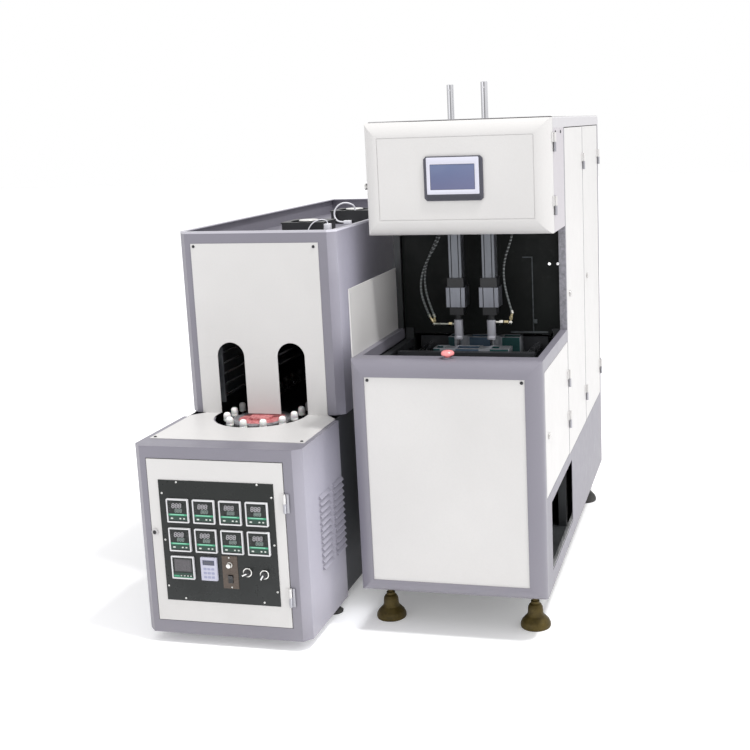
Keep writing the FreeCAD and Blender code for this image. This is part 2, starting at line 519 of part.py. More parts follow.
put("tower_panel", strips + [cut(box(-985, -501, 262.5, 265, 908, 1319), arch)])
put("lamp_tubes", [cyl("y", x, z, 5, 331, 1640) for x in LAMP_X for z in LAMP_Z])

# square axial fans standing on the tray: frame, motor in its middle on four struts, rotor below it
FZ0, FZ1 = TR + T, TR + T + 57
fh = []
for k, (x, y) in enumerate(FANS):
    frame_ = fuse([box(x - 84, x + 84, y - 75, y + 75, FZ0, FZ1 - 4), box(x - 88, x + 88, y - 75, y + 75, FZ1 - 5, FZ1)])
    frame_ = frame_.cut(cyl("z", x, y, 70, FZ0 - 1, FZ1 + 1))
    motor = cyl("z", x, y, 38, FZ1 - 19, FZ1 + 5)
    motor = motor.makeFillet(3, [e for e in motor.Edges if e.BoundBox.ZLength < 0.01 and abs(e.BoundBox.ZMin - FZ1 - 5) < 0.01])
    struts = [place(box(30, 72, -4, 4, 0, 5), x, y, FZ1 - 7, a) for a in (45, 135, 225, 315)]
    fh.append(fuse([frame_, motor] + struts).cut(cyl("z", x, y, 4 + FIT, FZ1 - 25, FZ1 - 7)))
    blades = []
    for a in range(5):
        b = box(20, 66, -1.3, 1.3, -13, 13)
        b.rotate(V(0, 0, 0), V(1, 0, 0), 52)
        b.translate(V(0, 0, FZ0 + 20))
        blades.append(place(b, x, y, 0, 72 * a + 10))
    rot = fuse([cyl("z", x, y, 30, FZ0 + 5, FZ1 - 22), cyl("z", x, y, 4, FZ1 - 23, FZ1 - 8)] + blades)
    put("fan_rotor_front" if k == 0 else "fan_rotor_rear", rot)
put("fan_housings", fh)

# fan leads: a thick loop over the front of the rear fan down to its plug on the tray, and a thin
# one from the plug on the side of the front fan over its corner down to the tray
lead_rear = [(-706, 1282, FZ1), (-706, 1282, 1366), (-716, 1270, 1380), (-740, 1262, 1388), (-770, 1259, 1381),
             (-791, 1257, 1358), (-795, 1255, 1332), (-784, 1253, 1311), (-766, 1252, 1304), (-750, 1252, 1304)]
lead_front = [(-632, 728, 1344), (-632, 727, 1354), (-640, 714, 1361), (-658, 698, 1362), (-682, 691, 1350),
              (-698, 688, 1326), (-703, 687, 1308), (-703, 687, FZ0)]
put("fan_cable", [route_tube(lead_rear, 3.6), box(-750, -716, 1243, 1261, FZ0, 1311),
                  route_tube(lead_front, 2.2), box(-646, -620, 715, 741, 1316, 1344)])

TEETH = 24


def wheel(y, shaft_lo):
    pts = []
    for k in range(TEETH):
        a0 = 2 * math.pi * k / TEETH
        for da, r in ((-0.36, 104), (-0.17, 113), (0.17, 113), (0.36, 104)):
            a = a0 + da * 2 * math.pi / TEETH
            pts.append((CX + r * math.cos(a), y + r * math.sin(a)))
    teeth = prism(pts, "xy", 657, 667)
    return fuse([teeth, cyl("z", CX, y, 108, 678, 686), cyl("z", CX, y, 42, 646.6, 694), cyl("z", CX, y, 15, shaft_lo, 647)])


put("sprocket_front", wheel(CY, 580))
put("sprocket_rear", wheel(CY2, 530))


def track(r):
    return fuse([box(CX - r, CX + r, CY, CY2, 656, 668), cyl("z", CX, CY, r, 656, 668), cyl("z", CX, CY2, r, 656, 668)])


put("chain", track(CR + 9).cut(track(CR - 9)))
sps = []
straight = CY2 - CY
arc = math.pi * CR
S0 = math.radians(262 - 180) * CR          # the spindle nearest the operator, left of centre


def on_loop(s):
    s %= 2 * (straight + arc)
    if s < arc:                            # front half turn, from the left run to the right run
        a = math.pi + s / CR
        return CX + CR * math.cos(a), CY + CR * math.sin(a)
    s -= arc
    if s < straight:
        return CX + CR, CY + s
    s -= straight
    if s < arc:
        a = s / CR
        return CX + CR * math.cos(a), CY2 + CR * math.sin(a)
    return CX - CR, CY2 - (s - arc)


for k in range(N_SP):
    x, y = on_loop(S0 + k * PITCH)
    sps.append(rev([(0, 668), (8, 668), (8, 681), (13, 681), (13.2, 684), (12, 706), (10.5, 710), (7, 712), (0, 712)], x, y))
put("spindles", sps)

gb = fuse([box(CX - 62, CX + 62, CY2 - 62, CY2 + 62, 500, 600), cyl("z", CX, CY2, 55, 300, 501)])
put("drive_gearmotor", gb.cut(cyl("z", CX, CY2, 15 + FIT, 529.5, 601)))


def screw(x, y, z, axis):
    if axis == "y":
        s = cyl("y", x, z, 5.5, y - 3.2, y)
        return s.cut(box(x - 3, x + 3, y - 4, y - 2, z - 0.8, z + 0.8))
    if axis == "z":
        return cyl("z", x, y, 5.5, z, z + 3.2).cut(box(x - 3, x + 3, y - 0.8, y + 0.8, z + 2, z + 4))
    return cyl("x", y, z, 5.5, x, x + 3.2).cut(box(x + 2, x + 4, y - 3, y + 3, z - 0.8, z + 0.8))


put("panel_screws", [screw(-258, 3, 891, "y"), screw(258, 3, 891, "y"),
                     screw(-980 + 6, 262.5, 1309, "y"), screw(-518, 262.5, 1305, "y"),
                     screw(-1000, -70, HZ1 + T, "z"), screw(-470, -70, HZ1 + T, "z"),
                     screw(W, 390, 1672, "x"), screw(W, 507, 1672, "x")])

# ============================ export ==========================================
lo, hi = [1e9] * 3, [-1e9] * 3
for n, s in nodes.items():
    s.translate(V(OX, OY, 0))
    bb = s.optimalBoundingBox(False, False)
    lo = [min(a, b) for a, b in zip(lo, (bb.XMin, bb.YMin, bb.ZMin))]
    hi = [max(a, b) for a, b in zip(hi, (bb.XMax, bb.YMax, bb.ZMax))]
    for k, so in enumerate(s.Solids):
        if not so.isValid() or so.Volume <= 0:
            print("BAD SOLID", n, k, so.isValid(), so.Volume)
    if not s.Solids:
        print("NO SOLID", n)
    s.exportStep("parts/%s.step" % n)
print(len(nodes), "nodes; box", [round(v, 2) for v in lo], [round(v, 2) for v in hi],
      "volume m3", round(sum(s.Volume for s in nodes.values()) / 1e9, 5))
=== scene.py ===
import bpy, bmesh, math
from mathutils import Vector, Matrix


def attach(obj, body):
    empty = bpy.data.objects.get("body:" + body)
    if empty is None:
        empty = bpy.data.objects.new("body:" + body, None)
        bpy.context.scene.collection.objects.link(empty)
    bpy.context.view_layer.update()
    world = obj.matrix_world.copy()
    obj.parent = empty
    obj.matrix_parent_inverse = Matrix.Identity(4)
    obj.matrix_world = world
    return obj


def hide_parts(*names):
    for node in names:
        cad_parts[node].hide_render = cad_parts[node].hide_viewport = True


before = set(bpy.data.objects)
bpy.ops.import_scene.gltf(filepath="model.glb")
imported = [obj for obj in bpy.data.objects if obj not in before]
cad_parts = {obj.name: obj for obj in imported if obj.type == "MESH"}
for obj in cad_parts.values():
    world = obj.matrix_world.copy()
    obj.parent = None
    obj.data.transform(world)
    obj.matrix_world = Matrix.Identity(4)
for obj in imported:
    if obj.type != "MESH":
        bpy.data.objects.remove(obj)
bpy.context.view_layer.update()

S = bpy.context.scene

# Working coordinates are the machine's own: millimetres, x right, y away from the operator,
# z up, x = 0 and y = 0 on the blow unit's front centre. P() turns them into the frame's metres.
OX, OY = 350.5, -852.5
ST_X = 61.0


def P(x, y, z):
    return Vector(((x + OX) / 1000, (y + OY) / 1000, z / 1000))


# ------------------------------------------------------------------ camera, light
cam = bpy.data.objects.new("camera", bpy.data.cameras.new("camera"))
S.collection.objects.link(cam)
yaw, pitch, roll = -0.23005, -0.18126, -0.03415
look = Vector((math.sin(yaw) * math.cos(pitch), math.cos(yaw) * math.cos(pitch), math.sin(pitch)))
right = Vector((math.cos(yaw), -math.sin(yaw), 0))
up = right.cross(look)
r2 = right * math.cos(roll) + up * math.sin(roll)
u2 = up * math.cos(roll) - right * math.sin(roll)
m = Matrix((r2, u2, -look)).transposed().to_4x4()
m.translation = P(910.99, -3443.02, 1710.70)
cam.matrix_world = m
cam.data.sensor_width = 36
cam.data.lens = 36 * 1128.337 / 750
cam.data.shift_x, cam.data.shift_y = -0.13, -0.06
cam.data.clip_end = 60
S.camera = cam
S.view_settings.view_transform = "Standard"
S.view_settings.look = "None"


def area(name, place, size, power, colour=(1, 1, 1), target=(0.0, 0.0, 0.8), tall=None):
    d = bpy.data.lights.new(name, "AREA")
    d.shape, d.size, d.energy, d.color = ("RECTANGLE" if tall else "DISK"), size, power, colour
    if tall:
        d.size_y = tall
    o = bpy.data.objects.new(name, d)
    o.location = place
    o.rotation_mode = "QUATERNION"
    o.rotation_quaternion = (Vector(target) - Vector(place)).to_track_quat("-Z", "Y")
    S.collection.objects.link(o)
    o.visible_camera = False
    return o


area("key", (4.05, -1.95, 10.3), 1.3, 700, (1.0, 0.99, 0.98))
area("fill", (-3.2, -5.2, 2.4), 3.0, 14, (0.96, 0.97, 1.0))


def card(name, y0, y1, z0, z1, power):
    """soft reflector card in the aisle between the cabinets, turned to the heater's right side"""
    a = P(-329, (y0 + y1) / 2, (z0 + z1) / 2)
    area(name, a, (y1 - y0) / 1000, power, (0.97, 0.98, 1.0), a - Vector((1, 0, 0)), (z1 - z0) / 1000)


card("card_low", -230, 215, 40, 700, 1.5)
card("card_high", 225, 480, 925, 1400, 0.85)
w = bpy.data.worlds.new("studio")
w.use_nodes = True
w.node_tree.nodes["Background"].inputs[0].default_value = (1.0, 1.0, 1.0, 1)
w.node_tree.nodes["Background"].inputs[1].default_value = 1.0
S.world = w


# ------------------------------------------------------------------ materials
def lin(*c):
    return tuple((v / 12.92) if v <= 0.04045 else ((v + 0.055) / 1.055) ** 2.4 for v in c)


class Mat:
    def __init__(self, name):
        self.m = bpy.data.materials.new(name)
        self.m.use_nodes = True
        self.t = self.m.node_tree
        self.t.nodes.clear()
        self.out = self.node("ShaderNodeOutputMaterial")
        self.b = self.node("ShaderNodeBsdfPrincipled")
        self.t.links.new(self.b.outputs[0], self.out.inputs[0])
        tc = self.node("ShaderNodeTexCoord")
        self.pos, self.nrm = tc.outputs["Object"], tc.outputs["Normal"]
        self._xyz = self._nxyz = None

    def node(self, kind, **k):
        n = self.t.nodes.new(kind)
        for a, v in k.items():
            setattr(n, a, v)
        return n

    def link(self, a, b):
        if isinstance(a, (int, float)):
            b.default_value = a
        elif isinstance(a, (tuple, list)):
            b.default_value = tuple(a) + ((1,) if len(a) == 3 and len(b.default_value) == 4 else ())
        else:
            self.t.links.new(a, b)

    def xyz(self):
        if self._xyz is None:
            s = self.node("ShaderNodeSeparateXYZ")
            self.link(self.pos, s.inputs[0])
            self._xyz = s.outputs
        return self._xyz

    def nxyz(self):
        if self._nxyz is None:
            s = self.node("ShaderNodeSeparateXYZ")
            self.link(self.nrm, s.inputs[0])
            self._nxyz = s.outputs
        return self._nxyz

    def math(self, op, a, b=0.0, c=None):
        n = self.node("ShaderNodeMath", operation=op)
        self.link(a, n.inputs[0])
        self.link(b, n.inputs[1])
        if c is not None:
            self.link(c, n.inputs[2])
        return n.outputs[0]

    def noise(self, scale, detail=3.0, rough=0.55, stretch=None, distort=0.0):
        v = self.pos
        if stretch:
            mp = self.node("ShaderNodeMapping")
            mp.inputs["Scale"].default_value = stretch
            self.link(v, mp.inputs[0])
            v = mp.outputs[0]
        n = self.node("ShaderNodeTexNoise")
        self.link(v, n.inputs["Vector"])
        n.inputs["Scale"].default_value = scale
        n.inputs["Detail"].default_value = detail
        n.inputs["Roughness"].default_value = rough
        n.inputs["Distortion"].default_value = distort
        return n.outputs["Fac"]

    def span(self, v, a, b, lo=0.3, hi=0.7):
        n = self.node("ShaderNodeMapRange")
        self.link(v, n.inputs["Value"])
        n.inputs["From Min"].default_value = lo
        n.inputs["From Max"].default_value = hi
        n.inputs["To Min"].default_value = a
        n.inputs["To Max"].default_value = b
        return n.outputs[0]

    def mix(self, fac, a, b):
        n = self.node("ShaderNodeMix", data_type="RGBA")
        self.link(fac, n.inputs[0])
        self.link(a, n.inputs[6])
        self.link(b, n.inputs[7])
        return n.outputs[2]

    def inside(self, lo, hi):
        """1 inside the box lo..hi, given in working mm with None for open sides"""
        o = (OX, OY, 0.0)
        res = None
        for i in range(3):
            for lim, op in ((lo[i], "GREATER_THAN"), (hi[i], "LESS_THAN")):
                if lim is None:
                    continue
                t = self.math(op, self.xyz()[i], (lim + o[i]) / 1000)
                res = t if res is None else self.math("MULTIPLY", res, t)
        return res

    def finish(self, colour, rough, bump=None, bump_d=0.0001, strength=0.5, edge=0.0, metal=0.0, coat=0.0, spec=0.5):
        i = self.b.inputs
        self.link(colour, i["Base Color"])
        self.link(rough, i["Roughness"])
        self.link(metal, i["Metallic"])
        i["Coat Weight"].default_value = coat
        i["Coat Roughness"].default_value = 0.12
        i["Specular IOR Level"].default_value = spec
        nin = None
        if edge:
            bv = self.node("ShaderNodeBevel", samples=3)
            bv.inputs["Radius"].default_value = edge
            nin = bv.outputs[0]
        if bump is not None:
            b = self.node("ShaderNodeBump")
            b.inputs["Strength"].default_value = strength
            b.inputs["Distance"].default_value = bump_d
            self.link(bump, b.inputs["Height"])
            if nin is not None:
                self.link(nin, b.inputs["Normal"])
            nin = b.outputs[0]
        if nin is not None:
            self.link(nin, i["Normal"])
        return self.m


def scaled(c, k):
    return tuple(v * k for v in c)


def paint(name, c, rough=0.42, var=0.05, edge=0.0014, peel=420, dust=0.10, inner=None, coat=0.0, zones=(), sides=None, deep=1.0):
    """powder coat: soft colour drift, orange peel, handling marks, dust near the floor. inner is a
    function giving a mask of faces inside a cabinet, painted near black as painted shade; sides is a painted shade
    colour for upright faces"""
    k = Mat(name)
    base = k.mix(k.span(k.noise(2.1, 3), 0, 1), scaled(c, 1 - var), scaled(c, 1 + var * 0.55))
    fine = k.span(k.noise(190, 2), 0, 1, 0.35, 0.65)
    base = k.mix(k.math("MULTIPLY", fine, 0.10), base, scaled(c, 0.82))
    # faint streaks of handling and dust that rises from the floor
    marks = k.span(k.noise(7.5, 5, 0.65, (1, 1, 0.35), 0.6), 0, 1, 0.60, 0.78)
    base = k.mix(k.math("MULTIPLY", marks, dust * 0.9), base, scaled((c[0] * 0.80, c[1] * 0.78, c[2] * 0.74), 1))
    low = k.span(k.xyz()[2], 1, 0, 0.03, 0.34)
    lown = k.math("MULTIPLY", low, k.span(k.noise(13, 4), 0.25, 1))
    base = k.mix(k.math("MULTIPLY", lown, dust), base, (0.36, 0.33, 0.29))
    ro = k.span(k.noise(26, 3), rough - 0.02, rough + 0.04)
    ro = k.math("ADD", ro, k.math("MULTIPLY", marks, 0.06))
    for lo, hi, col, rr in zones:
        f = k.inside(lo, hi)
        base = k.mix(f, base, col)
    # painted shade: faces standing near upright take the darker colour sides
    if sides:
        base = k.mix(k.math("LESS_THAN", k.math("ABSOLUTE", k.nxyz()[2]), 0.35), base, sides)
    # painted shade: the masked inside faces turn near black, scaled by deep
    if inner:
        f = inner(k)
        dark = k.mix(k.span(k.noise(11, 3), 0, 1), (0.012 * deep, 0.013 * deep, 0.015 * deep), (0.028 * deep, 0.030 * deep, 0.032 * deep))
        base = k.mix(f, base, dark)
    return k.finish(base, ro, k.noise(peel, 2, 0.5), 0.00012, 0.35, edge, coat=coat)


WHITE = (0.60, 0.590, 0.584)
GREY = (0.205, 0.197, 0.234)
m_white = paint("panel_white", WHITE, 0.38)
# painted shade: a near-black band round the heater door's opening, where the gap round the door lies in shade
m_grey = paint("frame_grey", GREY, 0.40, 0.06, zones=(
    ((-986.4, None, 81.6), (-499.6, None, 654.4), (0.01, 0.01, 0.012), 0.5),))
m_shell = paint("shell_pale", (0.47, 0.445, 0.475), 0.40)
# the roof's upright faces are painted darker than its top: painted shade
m_roof = paint("roof_pale", (0.66, 0.66, 0.668), 0.42, sides=(0.50, 0.49, 0.51))


def inward(k, lo, hi, cx, cy):
    """the inner side of a cabinet: inside the box lo..hi and facing its middle line"""
    o = (OX, OY)
    t = None
    for i, c in enumerate((cx, cy)):
        side = k.math("SIGN", k.math("SUBTRACT", k.xyz()[i], (c + o[i]) / 1000))
        q = k.math("MULTIPLY", k.nxyz()[i], side)
        t = q if t is None else k.math("ADD", t, q)
    return k.math("MULTIPLY", k.inside(lo, hi), k.math("LESS_THAN", t, -0.3))


def tower_inside(k):
    side = inward(k, (-1033.4, 266.6, None), (-442.6, 1898.4, 1293.3), -738, 1082)
    under = k.math("MULTIPLY", k.inside((-1033.4, 266.6, None), (-442.6, 1898.4, 1294)), k.math("LESS_THAN", k.nxyz()[2], -0.5))
    deep = k.inside((-1032.9, 311, None), (-443.1, 1897.9, 1293.3))
    return k.math("MAXIMUM", deep, k.math("MAXIMUM", side, under))


# painted highlight: the tower's top rim above z 1354.5 is painted lighter, as if lit
m_tower = paint("tower_grey", GREY, 0.40, 0.06, inner=tower_inside, deep=6.0, zones=(
    ((None, None, 1354.5), (None, None, 1400), (0.47, 0.46, 0.51), 0.4),))
m_sheet_in = paint("cladding_grey", GREY, 0.42, 0.06, deep=3.5,
                   inner=lambda k: inward(k, (-321.5, 61, 150), (321.5, 1618.6, 1690), 0, 840))
m_bezel = paint("bezel_grey", GREY, 0.36, 0.05, dust=0.12,
                inner=lambda k: inward(k, (-321, 8, 150), (321, 600, 917), 0, 1e5))


def black(name, c=(0.016, 0.0175, 0.018), rough=0.5, edge=0.001, dusty=0.10, zones=(), spec=0.5, mott=(0.75, 1.7), rv=0.11):
    k = Mat(name)
    col = k.mix(k.span(k.noise(5.5, 4), 0, 1), scaled(c, mott[0]), scaled(c, mott[1]))
    dust = k.span(k.noise(31, 5, 0.7), 0, 1, 0.58, 0.8)
    col = k.mix(k.math("MULTIPLY", dust, dusty), col, (0.22, 0.21, 0.20))
    for lo, hi, zc in zones:
        col = k.mix(k.math("MULTIPLY", k.inside(lo, hi), k.span(k.noise(70, 4, 0.7), 0.45, 1.0)), col, zc)
    return k.finish(col, k.span(k.noise(22, 3), rough - rv, rough + rv), k.noise(260, 2), 0.0002, 0.4 if rv > 0.05 else 0.2, edge, spec=spec)


m_black = black("black_paint")
# two zones on the black wall: a lighter grey patch right of the stations, and beside it a strip brighter than white, a
# painted highlight
m_wall = black("wall_black", (0.0042, 0.0054, 0.0050), 0.6, 0.0006, 0.04, (
    ((105, None, 930), (252, 603.8, 1230), lin(0.34, 0.36, 0.37)), ((252, None, 1180), (300, 603.8, 1210), (3.0, 3.0, 3.0))), 0.2)
# painted shade: the heater's rear base is painted near black, standing for the shadow the blow unit casts on its side
m_base_shade = black("base_black", (0.032, 0.034, 0.039), 0.46, dusty=0.03, spec=0.25, mott=(0.93, 1.12), rv=0.02)
m_frame = black("frame_black", (0.024, 0.026, 0.028), 0.5, zones=(((290, 575, 950), (326, 600, 1690), (0.30, 0.295, 0.33)),))


def metal(name, c, rough=0.32, stretch=(1, 1, 40), scale=60, edge=0.0006, mottle=0.12, metalness=1.0, zones=(), grime=0.25, painted_reflection=0.0):
    k = Mat(name)
    brush = k.noise(scale, 4, 0.6, stretch)
    col = k.mix(k.span(k.noise(9, 4), 0, 1), scaled(c, 1 - mottle), scaled(c, 1 + mottle * 0.4))
    col = k.mix(k.math("MULTIPLY", k.span(brush, 0, 1, 0.35, 0.65), 0.16), col, scaled(c, 0.72))
    spots = k.span(k.noise(44, 5, 0.7), 0, 1, 0.60, 0.76)
    col = k.mix(k.math("MULTIPLY", spots, grime), col, (0.05, 0.045, 0.04))
    ro = k.math("ADD", k.span(brush, rough - 0.07, rough + 0.10), k.math("MULTIPLY", spots, 0.25))
    if painted_reflection:      # painted reflection: darker bands along a turned bar, on faces turned to certain directions
        nx = k.nxyz()[0]
        f = k.math("MAXIMUM", k.span(nx, 1, 0, -0.86, -0.55), k.span(k.math("ABSOLUTE", k.math("SUBTRACT", nx, 0.18)), 1, 0, 0.08, 0.26))
        f = k.math("MULTIPLY", f, k.math("LESS_THAN", k.math("ABSOLUTE", k.nxyz()[2]), 0.3))
        col = k.mix(k.math("MULTIPLY", f, painted_reflection), col, scaled(c, 0.22))
    mt = metalness
    for lo, hi, zc, zr, zm in zones:
        f = k.inside(lo, hi)
        col = k.mix(f, col, zc)
        n = k.node("ShaderNodeMix", data_type="FLOAT")
        k.link(f, n.inputs[0]); k.link(ro, n.inputs[2]); k.link(zr, n.inputs[3])
        ro = n.outputs[0]
        n = k.node("ShaderNodeMix", data_type="FLOAT")
        k.link(f, n.inputs[0]); k.link(mt, n.inputs[2]); k.link(zm, n.inputs[3])
        mt = n.outputs[0]
    return k.finish(col, ro, brush, 0.00006, 0.5, edge, metal=mt)


BLK = (0.014, 0.015, 0.017)
# painted shade: near black in the grooves and bores of the extrusions and the seal stack
GROOVE_SHADE = (0.012, 0.012, 0.014)
m_alu = metal("anodised_extrusion", (0.165, 0.175, 0.195), 0.36, (1, 1, 0.04), 420, 0.0, 0.07, 0.7, zones=[
    ((cx - 23.5, 466.5, 1165.5), (cx + 23.5, 513.5, 1544.5), GROOVE_SHADE, 0.6, 0.0) for cx in (-ST_X, ST_X)])
m_clamp = metal("anodised_tube", (0.27, 0.28, 0.31), 0.36, (1, 0.04, 1), 420, 0.0006, 0.07, 0.7)
m_seal = metal("seal_stack", (0.215, 0.225, 0.255), 0.34, (1, 1, 0.04), 420, 0.0, 0.07, 0.8, zones=[
    ((None, None, 1131), (None, None, 1170), BLK, 0.4, 0.0), ((None, None, 1011), (None, None, 1060), BLK, 0.45, 0.0)] + [
    ((cx - 17, None, 930), (cx + 17, None, 1009), (0.58, 0.58, 0.64), 0.30, 0.45) for cx in (-ST_X, ST_X)] + [
    ((cx - 35.5, 454.5, 1060.5), (cx + 35.5, 525.5, 1130.5), GROOVE_SHADE, 0.6, 0.0) for cx in (-ST_X, ST_X)])
m_chrome = metal("hard_chrome", (0.66, 0.66, 0.685), 0.2, (1, 1, 0.05), 500, 0.0005, 0.10, 1.0, grime=0.12, painted_reflection=0.8)
m_lock = metal("plated_lock", (0.62, 0.61, 0.60), 0.24, (1, 1, 1), 300, 0.0004, 0.08, grime=0.12)
m_hinge = metal("plated_hinge", (0.40, 0.40, 0.43), 0.34, (1, 1, 0.1), 300, 0.0005, 0.06, grime=0.10)
m_steel = metal("machined_steel", (0.30, 0.31, 0.33), 0.42, (1, 1, 12), 90, 0.0008, 0.15)
m_oxide = metal("blackened_steel", (0.045, 0.047, 0.052), 0.46, (12, 1, 12), 90, 0.0008, 0.2, 0.5)
m_tie = metal("ground_bar", (0.55, 0.56, 0.58), 0.22, (1, 0.06, 1), 500, 0.0005, 0.06)
m_mould = metal("milled_aluminium", (0.50, 0.52, 0.56), 0.40, (30, 1, 1), 110, 0.0009, 0.12, 0.85, zones=(
    ((None, None, 560), (-99, None, 928), lin(0.20, 0.33, 0.35), 0.35, 0.5),
    ((-42, None, 560), (42, None, 928), lin(0.34, 0.42, 0.50), 0.35, 0.6),
    ((82, None, 560), (148, None, 928), lin(0.20, 0.36, 0.36), 0.35, 0.5)))
m_brass = metal("turned_brass", (0.62, 0.53, 0.32), 0.27, (1, 1, 8), 200, 0.0004, 0.12, grime=0.15)
m_nickel = metal("nickel_fitting", (0.80, 0.78, 0.72), 0.2, (1, 1, 8), 200, 0.0004, 0.08, grime=0.10)
m_nickel_dull = metal("tarnished_fitting", (0.40, 0.41, 0.36), 0.3, (1, 1, 8), 200, 0.0004, 0.1, grime=0.3)
m_chain = metal("oiled_chain", (0.20, 0.19, 0.18), 0.38, (1, 1, 1), 200, 0.0003, 0.2, grime=0.4)


def disc_red():
    k = Mat("wheel_red")
    c = lin(0.86, 0.56, 0.56)
    col = k.mix(k.span(k.noise(62, 5, 0.72), 0, 1, 0.38, 0.64), lin(0.66, 0.31, 0.34), c)
    worn = k.span(k.noise(75, 6, 0.75, (1, 0.4, 1), 1.5), 0, 1, 0.56, 0.66)
    col = k.mix(k.math("MULTIPLY", worn, 0.55), col, lin(0.92, 0.80, 0.76))
    oil = k.span(k.noise(58, 5, 0.7, (0.6, 1, 1), 1.0), 0, 1, 0.54, 0.66)
    col = k.mix(k.math("MULTIPLY", oil, 0.6), col, lin(0.36, 0.18, 0.19))
    # rubbed red lead in the middle, bare mottled steel towards the rim and on the hub
    dx = k.math("SUBTRACT", k.xyz()[0], (-747 + OX) / 1000)
    far = None
    for yc in (245, 245 + (52 * 72.2 - 2 * math.pi * 124) / 2):
        dy = k.math("SUBTRACT", k.xyz()[1], (yc + OY) / 1000)
        r = k.math("SQRT", k.math("ADD", k.math("MULTIPLY", dx, dx), k.math("MULTIPLY", dy, dy)))
        far = r if far is None else k.math("MINIMUM", far, r)
    far = k.math("ADD", far, k.math("MULTIPLY", k.noise(30, 4), 0.018))
    bare = k.mix(k.span(k.noise(48, 5, 0.75), 0, 1, 0.38, 0.64), lin(0.26, 0.25, 0.25), lin(0.62, 0.62, 0.64))
    col = k.mix(k.span(far, 0, 1, 0.088, 0.094), col, bare)
    # painted shade: below z 677 the wheel is painted near black, down under the deck
    dark = k.inside((None, None, None), (None, None, 677))
    col = k.mix(dark, col, (0.05, 0.045, 0.045))
    return k.finish(col, k.span(k.noise(30, 3), 0.42, 0.62), k.noise(220, 3), 0.0002, 0.5, 0.0008)


m_disc = disc_red()


def plastic(name, c, rough=0.42, var=0.05, grain=900, edge=0.0, coat=0.0, spec=0.5, sss=0.0):
    k = Mat(name)
    col = k.mix(k.span(k.noise(14, 3), 0, 1), scaled(c, 1 - var), scaled(c, 1 + var))
    k.b.inputs["Subsurface Weight"].default_value = sss
    k.b.inputs["Subsurface Scale"].default_value = 0.003
    return k.finish(col, k.span(k.noise(60, 3), rough - 0.06, rough + 0.08), k.noise(grain, 2), 0.00006, 0.4, edge, coat=coat, spec=spec)


m_hmi_dark = plastic("terminal_body", lin(0.27, 0.27, 0.31), 0.5, edge=0.0008)
m_hmi_face = plastic("terminal_face", lin(0.80, 0.80, 0.85), 0.34, 0.02, coat=0.1)
m_case = plastic("instrument_case", (0.02, 0.022, 0.022), 0.45)
m_bez = plastic("instrument_bezel", lin(0.82, 0.82, 0.83), 0.38, 0.03, spec=0.35)
m_face = plastic("instrument_face", lin(0.11, 0.13, 0.125), 0.30, 0.10, coat=0.08, spec=0.3)
m_dig1 = plastic("digit_upper", lin(0.70, 0.69, 0.71), 0.35, 0.08)
m_dig2 = plastic("digit_lower", lin(0.52, 0.58, 0.56), 0.35, 0.08)
m_green = plastic("green_stripe", lin(0.24, 0.60, 0.46), 0.35, 0.05)
m_dgreen = plastic("green_band", lin(0.09, 0.22, 0.18), 0.35, 0.08)
m_glow = plastic("green_highlight", lin(0.62, 0.86, 0.76), 0.3, 0.05)
m_key = plastic("small_keys", lin(0.78, 0.80, 0.78), 0.4, 0.06)
m_led = plastic("small_lamps", lin(0.35, 0.36, 0.36), 0.3)
m_dim = plastic("dim_display", lin(0.27, 0.265, 0.28), 0.22, 0.12, coat=0.4)
m_dimdig = plastic("dim_digits", lin(0.36, 0.34, 0.36), 0.35, 0.1)
m_ctr = plastic("counter_case", lin(0.72, 0.72, 0.78), 0.38, 0.03)
m_ctr_win = plastic("counter_window", lin(0.24, 0.25, 0.34), 0.2, 0.08, coat=0.4)
m_ctr_key = plastic("counter_keys", lin(0.57, 0.58, 0.68), 0.42, 0.05)
m_knob = plastic("knob_black", (0.018, 0.018, 0.02), 0.34, coat=0.15)
m_mark = plastic("pointer_white", lin(0.93, 0.93, 0.93), 0.4, 0.02)


def fan_mat():
    """black moulded frame and struts, bright turned motor cover"""
    k = Mat("fan_black")
    col = k.mix(k.span(k.noise(14, 3), 0, 1), (0.013, 0.0135, 0.015), (0.022, 0.023, 0.026))
    top = k.inside((None, None, 1352.4), (None, None, 1400))
    col = k.mix(top, col, k.mix(k.span(k.noise(60, 3), 0, 1), lin(0.84, 0.83, 0.82), lin(0.93, 0.93, 0.92)))
    return k.finish(col, k.span(k.noise(60, 3), 0.34, 0.48), k.noise(900, 2), 0.00006, 0.4, 0.0006, metal=k.math("MULTIPLY", top, 0.5))


m_fan = fan_mat()
m_rotor = plastic("rotor_black", (0.026, 0.026, 0.028), 0.36, 0.2)


def cap_mat():
    """white caps; those running inside the oven are painted dark from y 280 to 430, as painted shade"""
    k = Mat("spindle_cap")
    deep = k.span(k.xyz()[1], 0, 1, (280 + OY) / 1000, (430 + OY) / 1000)
    col = k.mix(k.span(k.noise(14, 3), 0, 1), lin(0.955, 0.955, 0.95), lin(0.995, 0.995, 0.99))
    col = k.mix(deep, col, (0.035, 0.033, 0.03))
    k.b.inputs["Subsurface Weight"].default_value = 0.1
    k.b.inputs["Subsurface Scale"].default_value = 0.003
    return k.finish(col, k.span(k.noise(60, 3), 0.28, 0.42), k.noise(900, 2), 0.00006, 0.4)


m_cap = cap_mat()
m_cable = plastic("white_lead", lin(0.93, 0.93, 0.95), 0.42, 0.03)
m_red = plastic("button_red", lin(0.94, 0.56, 0.56), 0.3, 0.06, coat=0.5)
m_motor = paint("motor_paint", lin(0.30, 0.34, 0.38), 0.45)


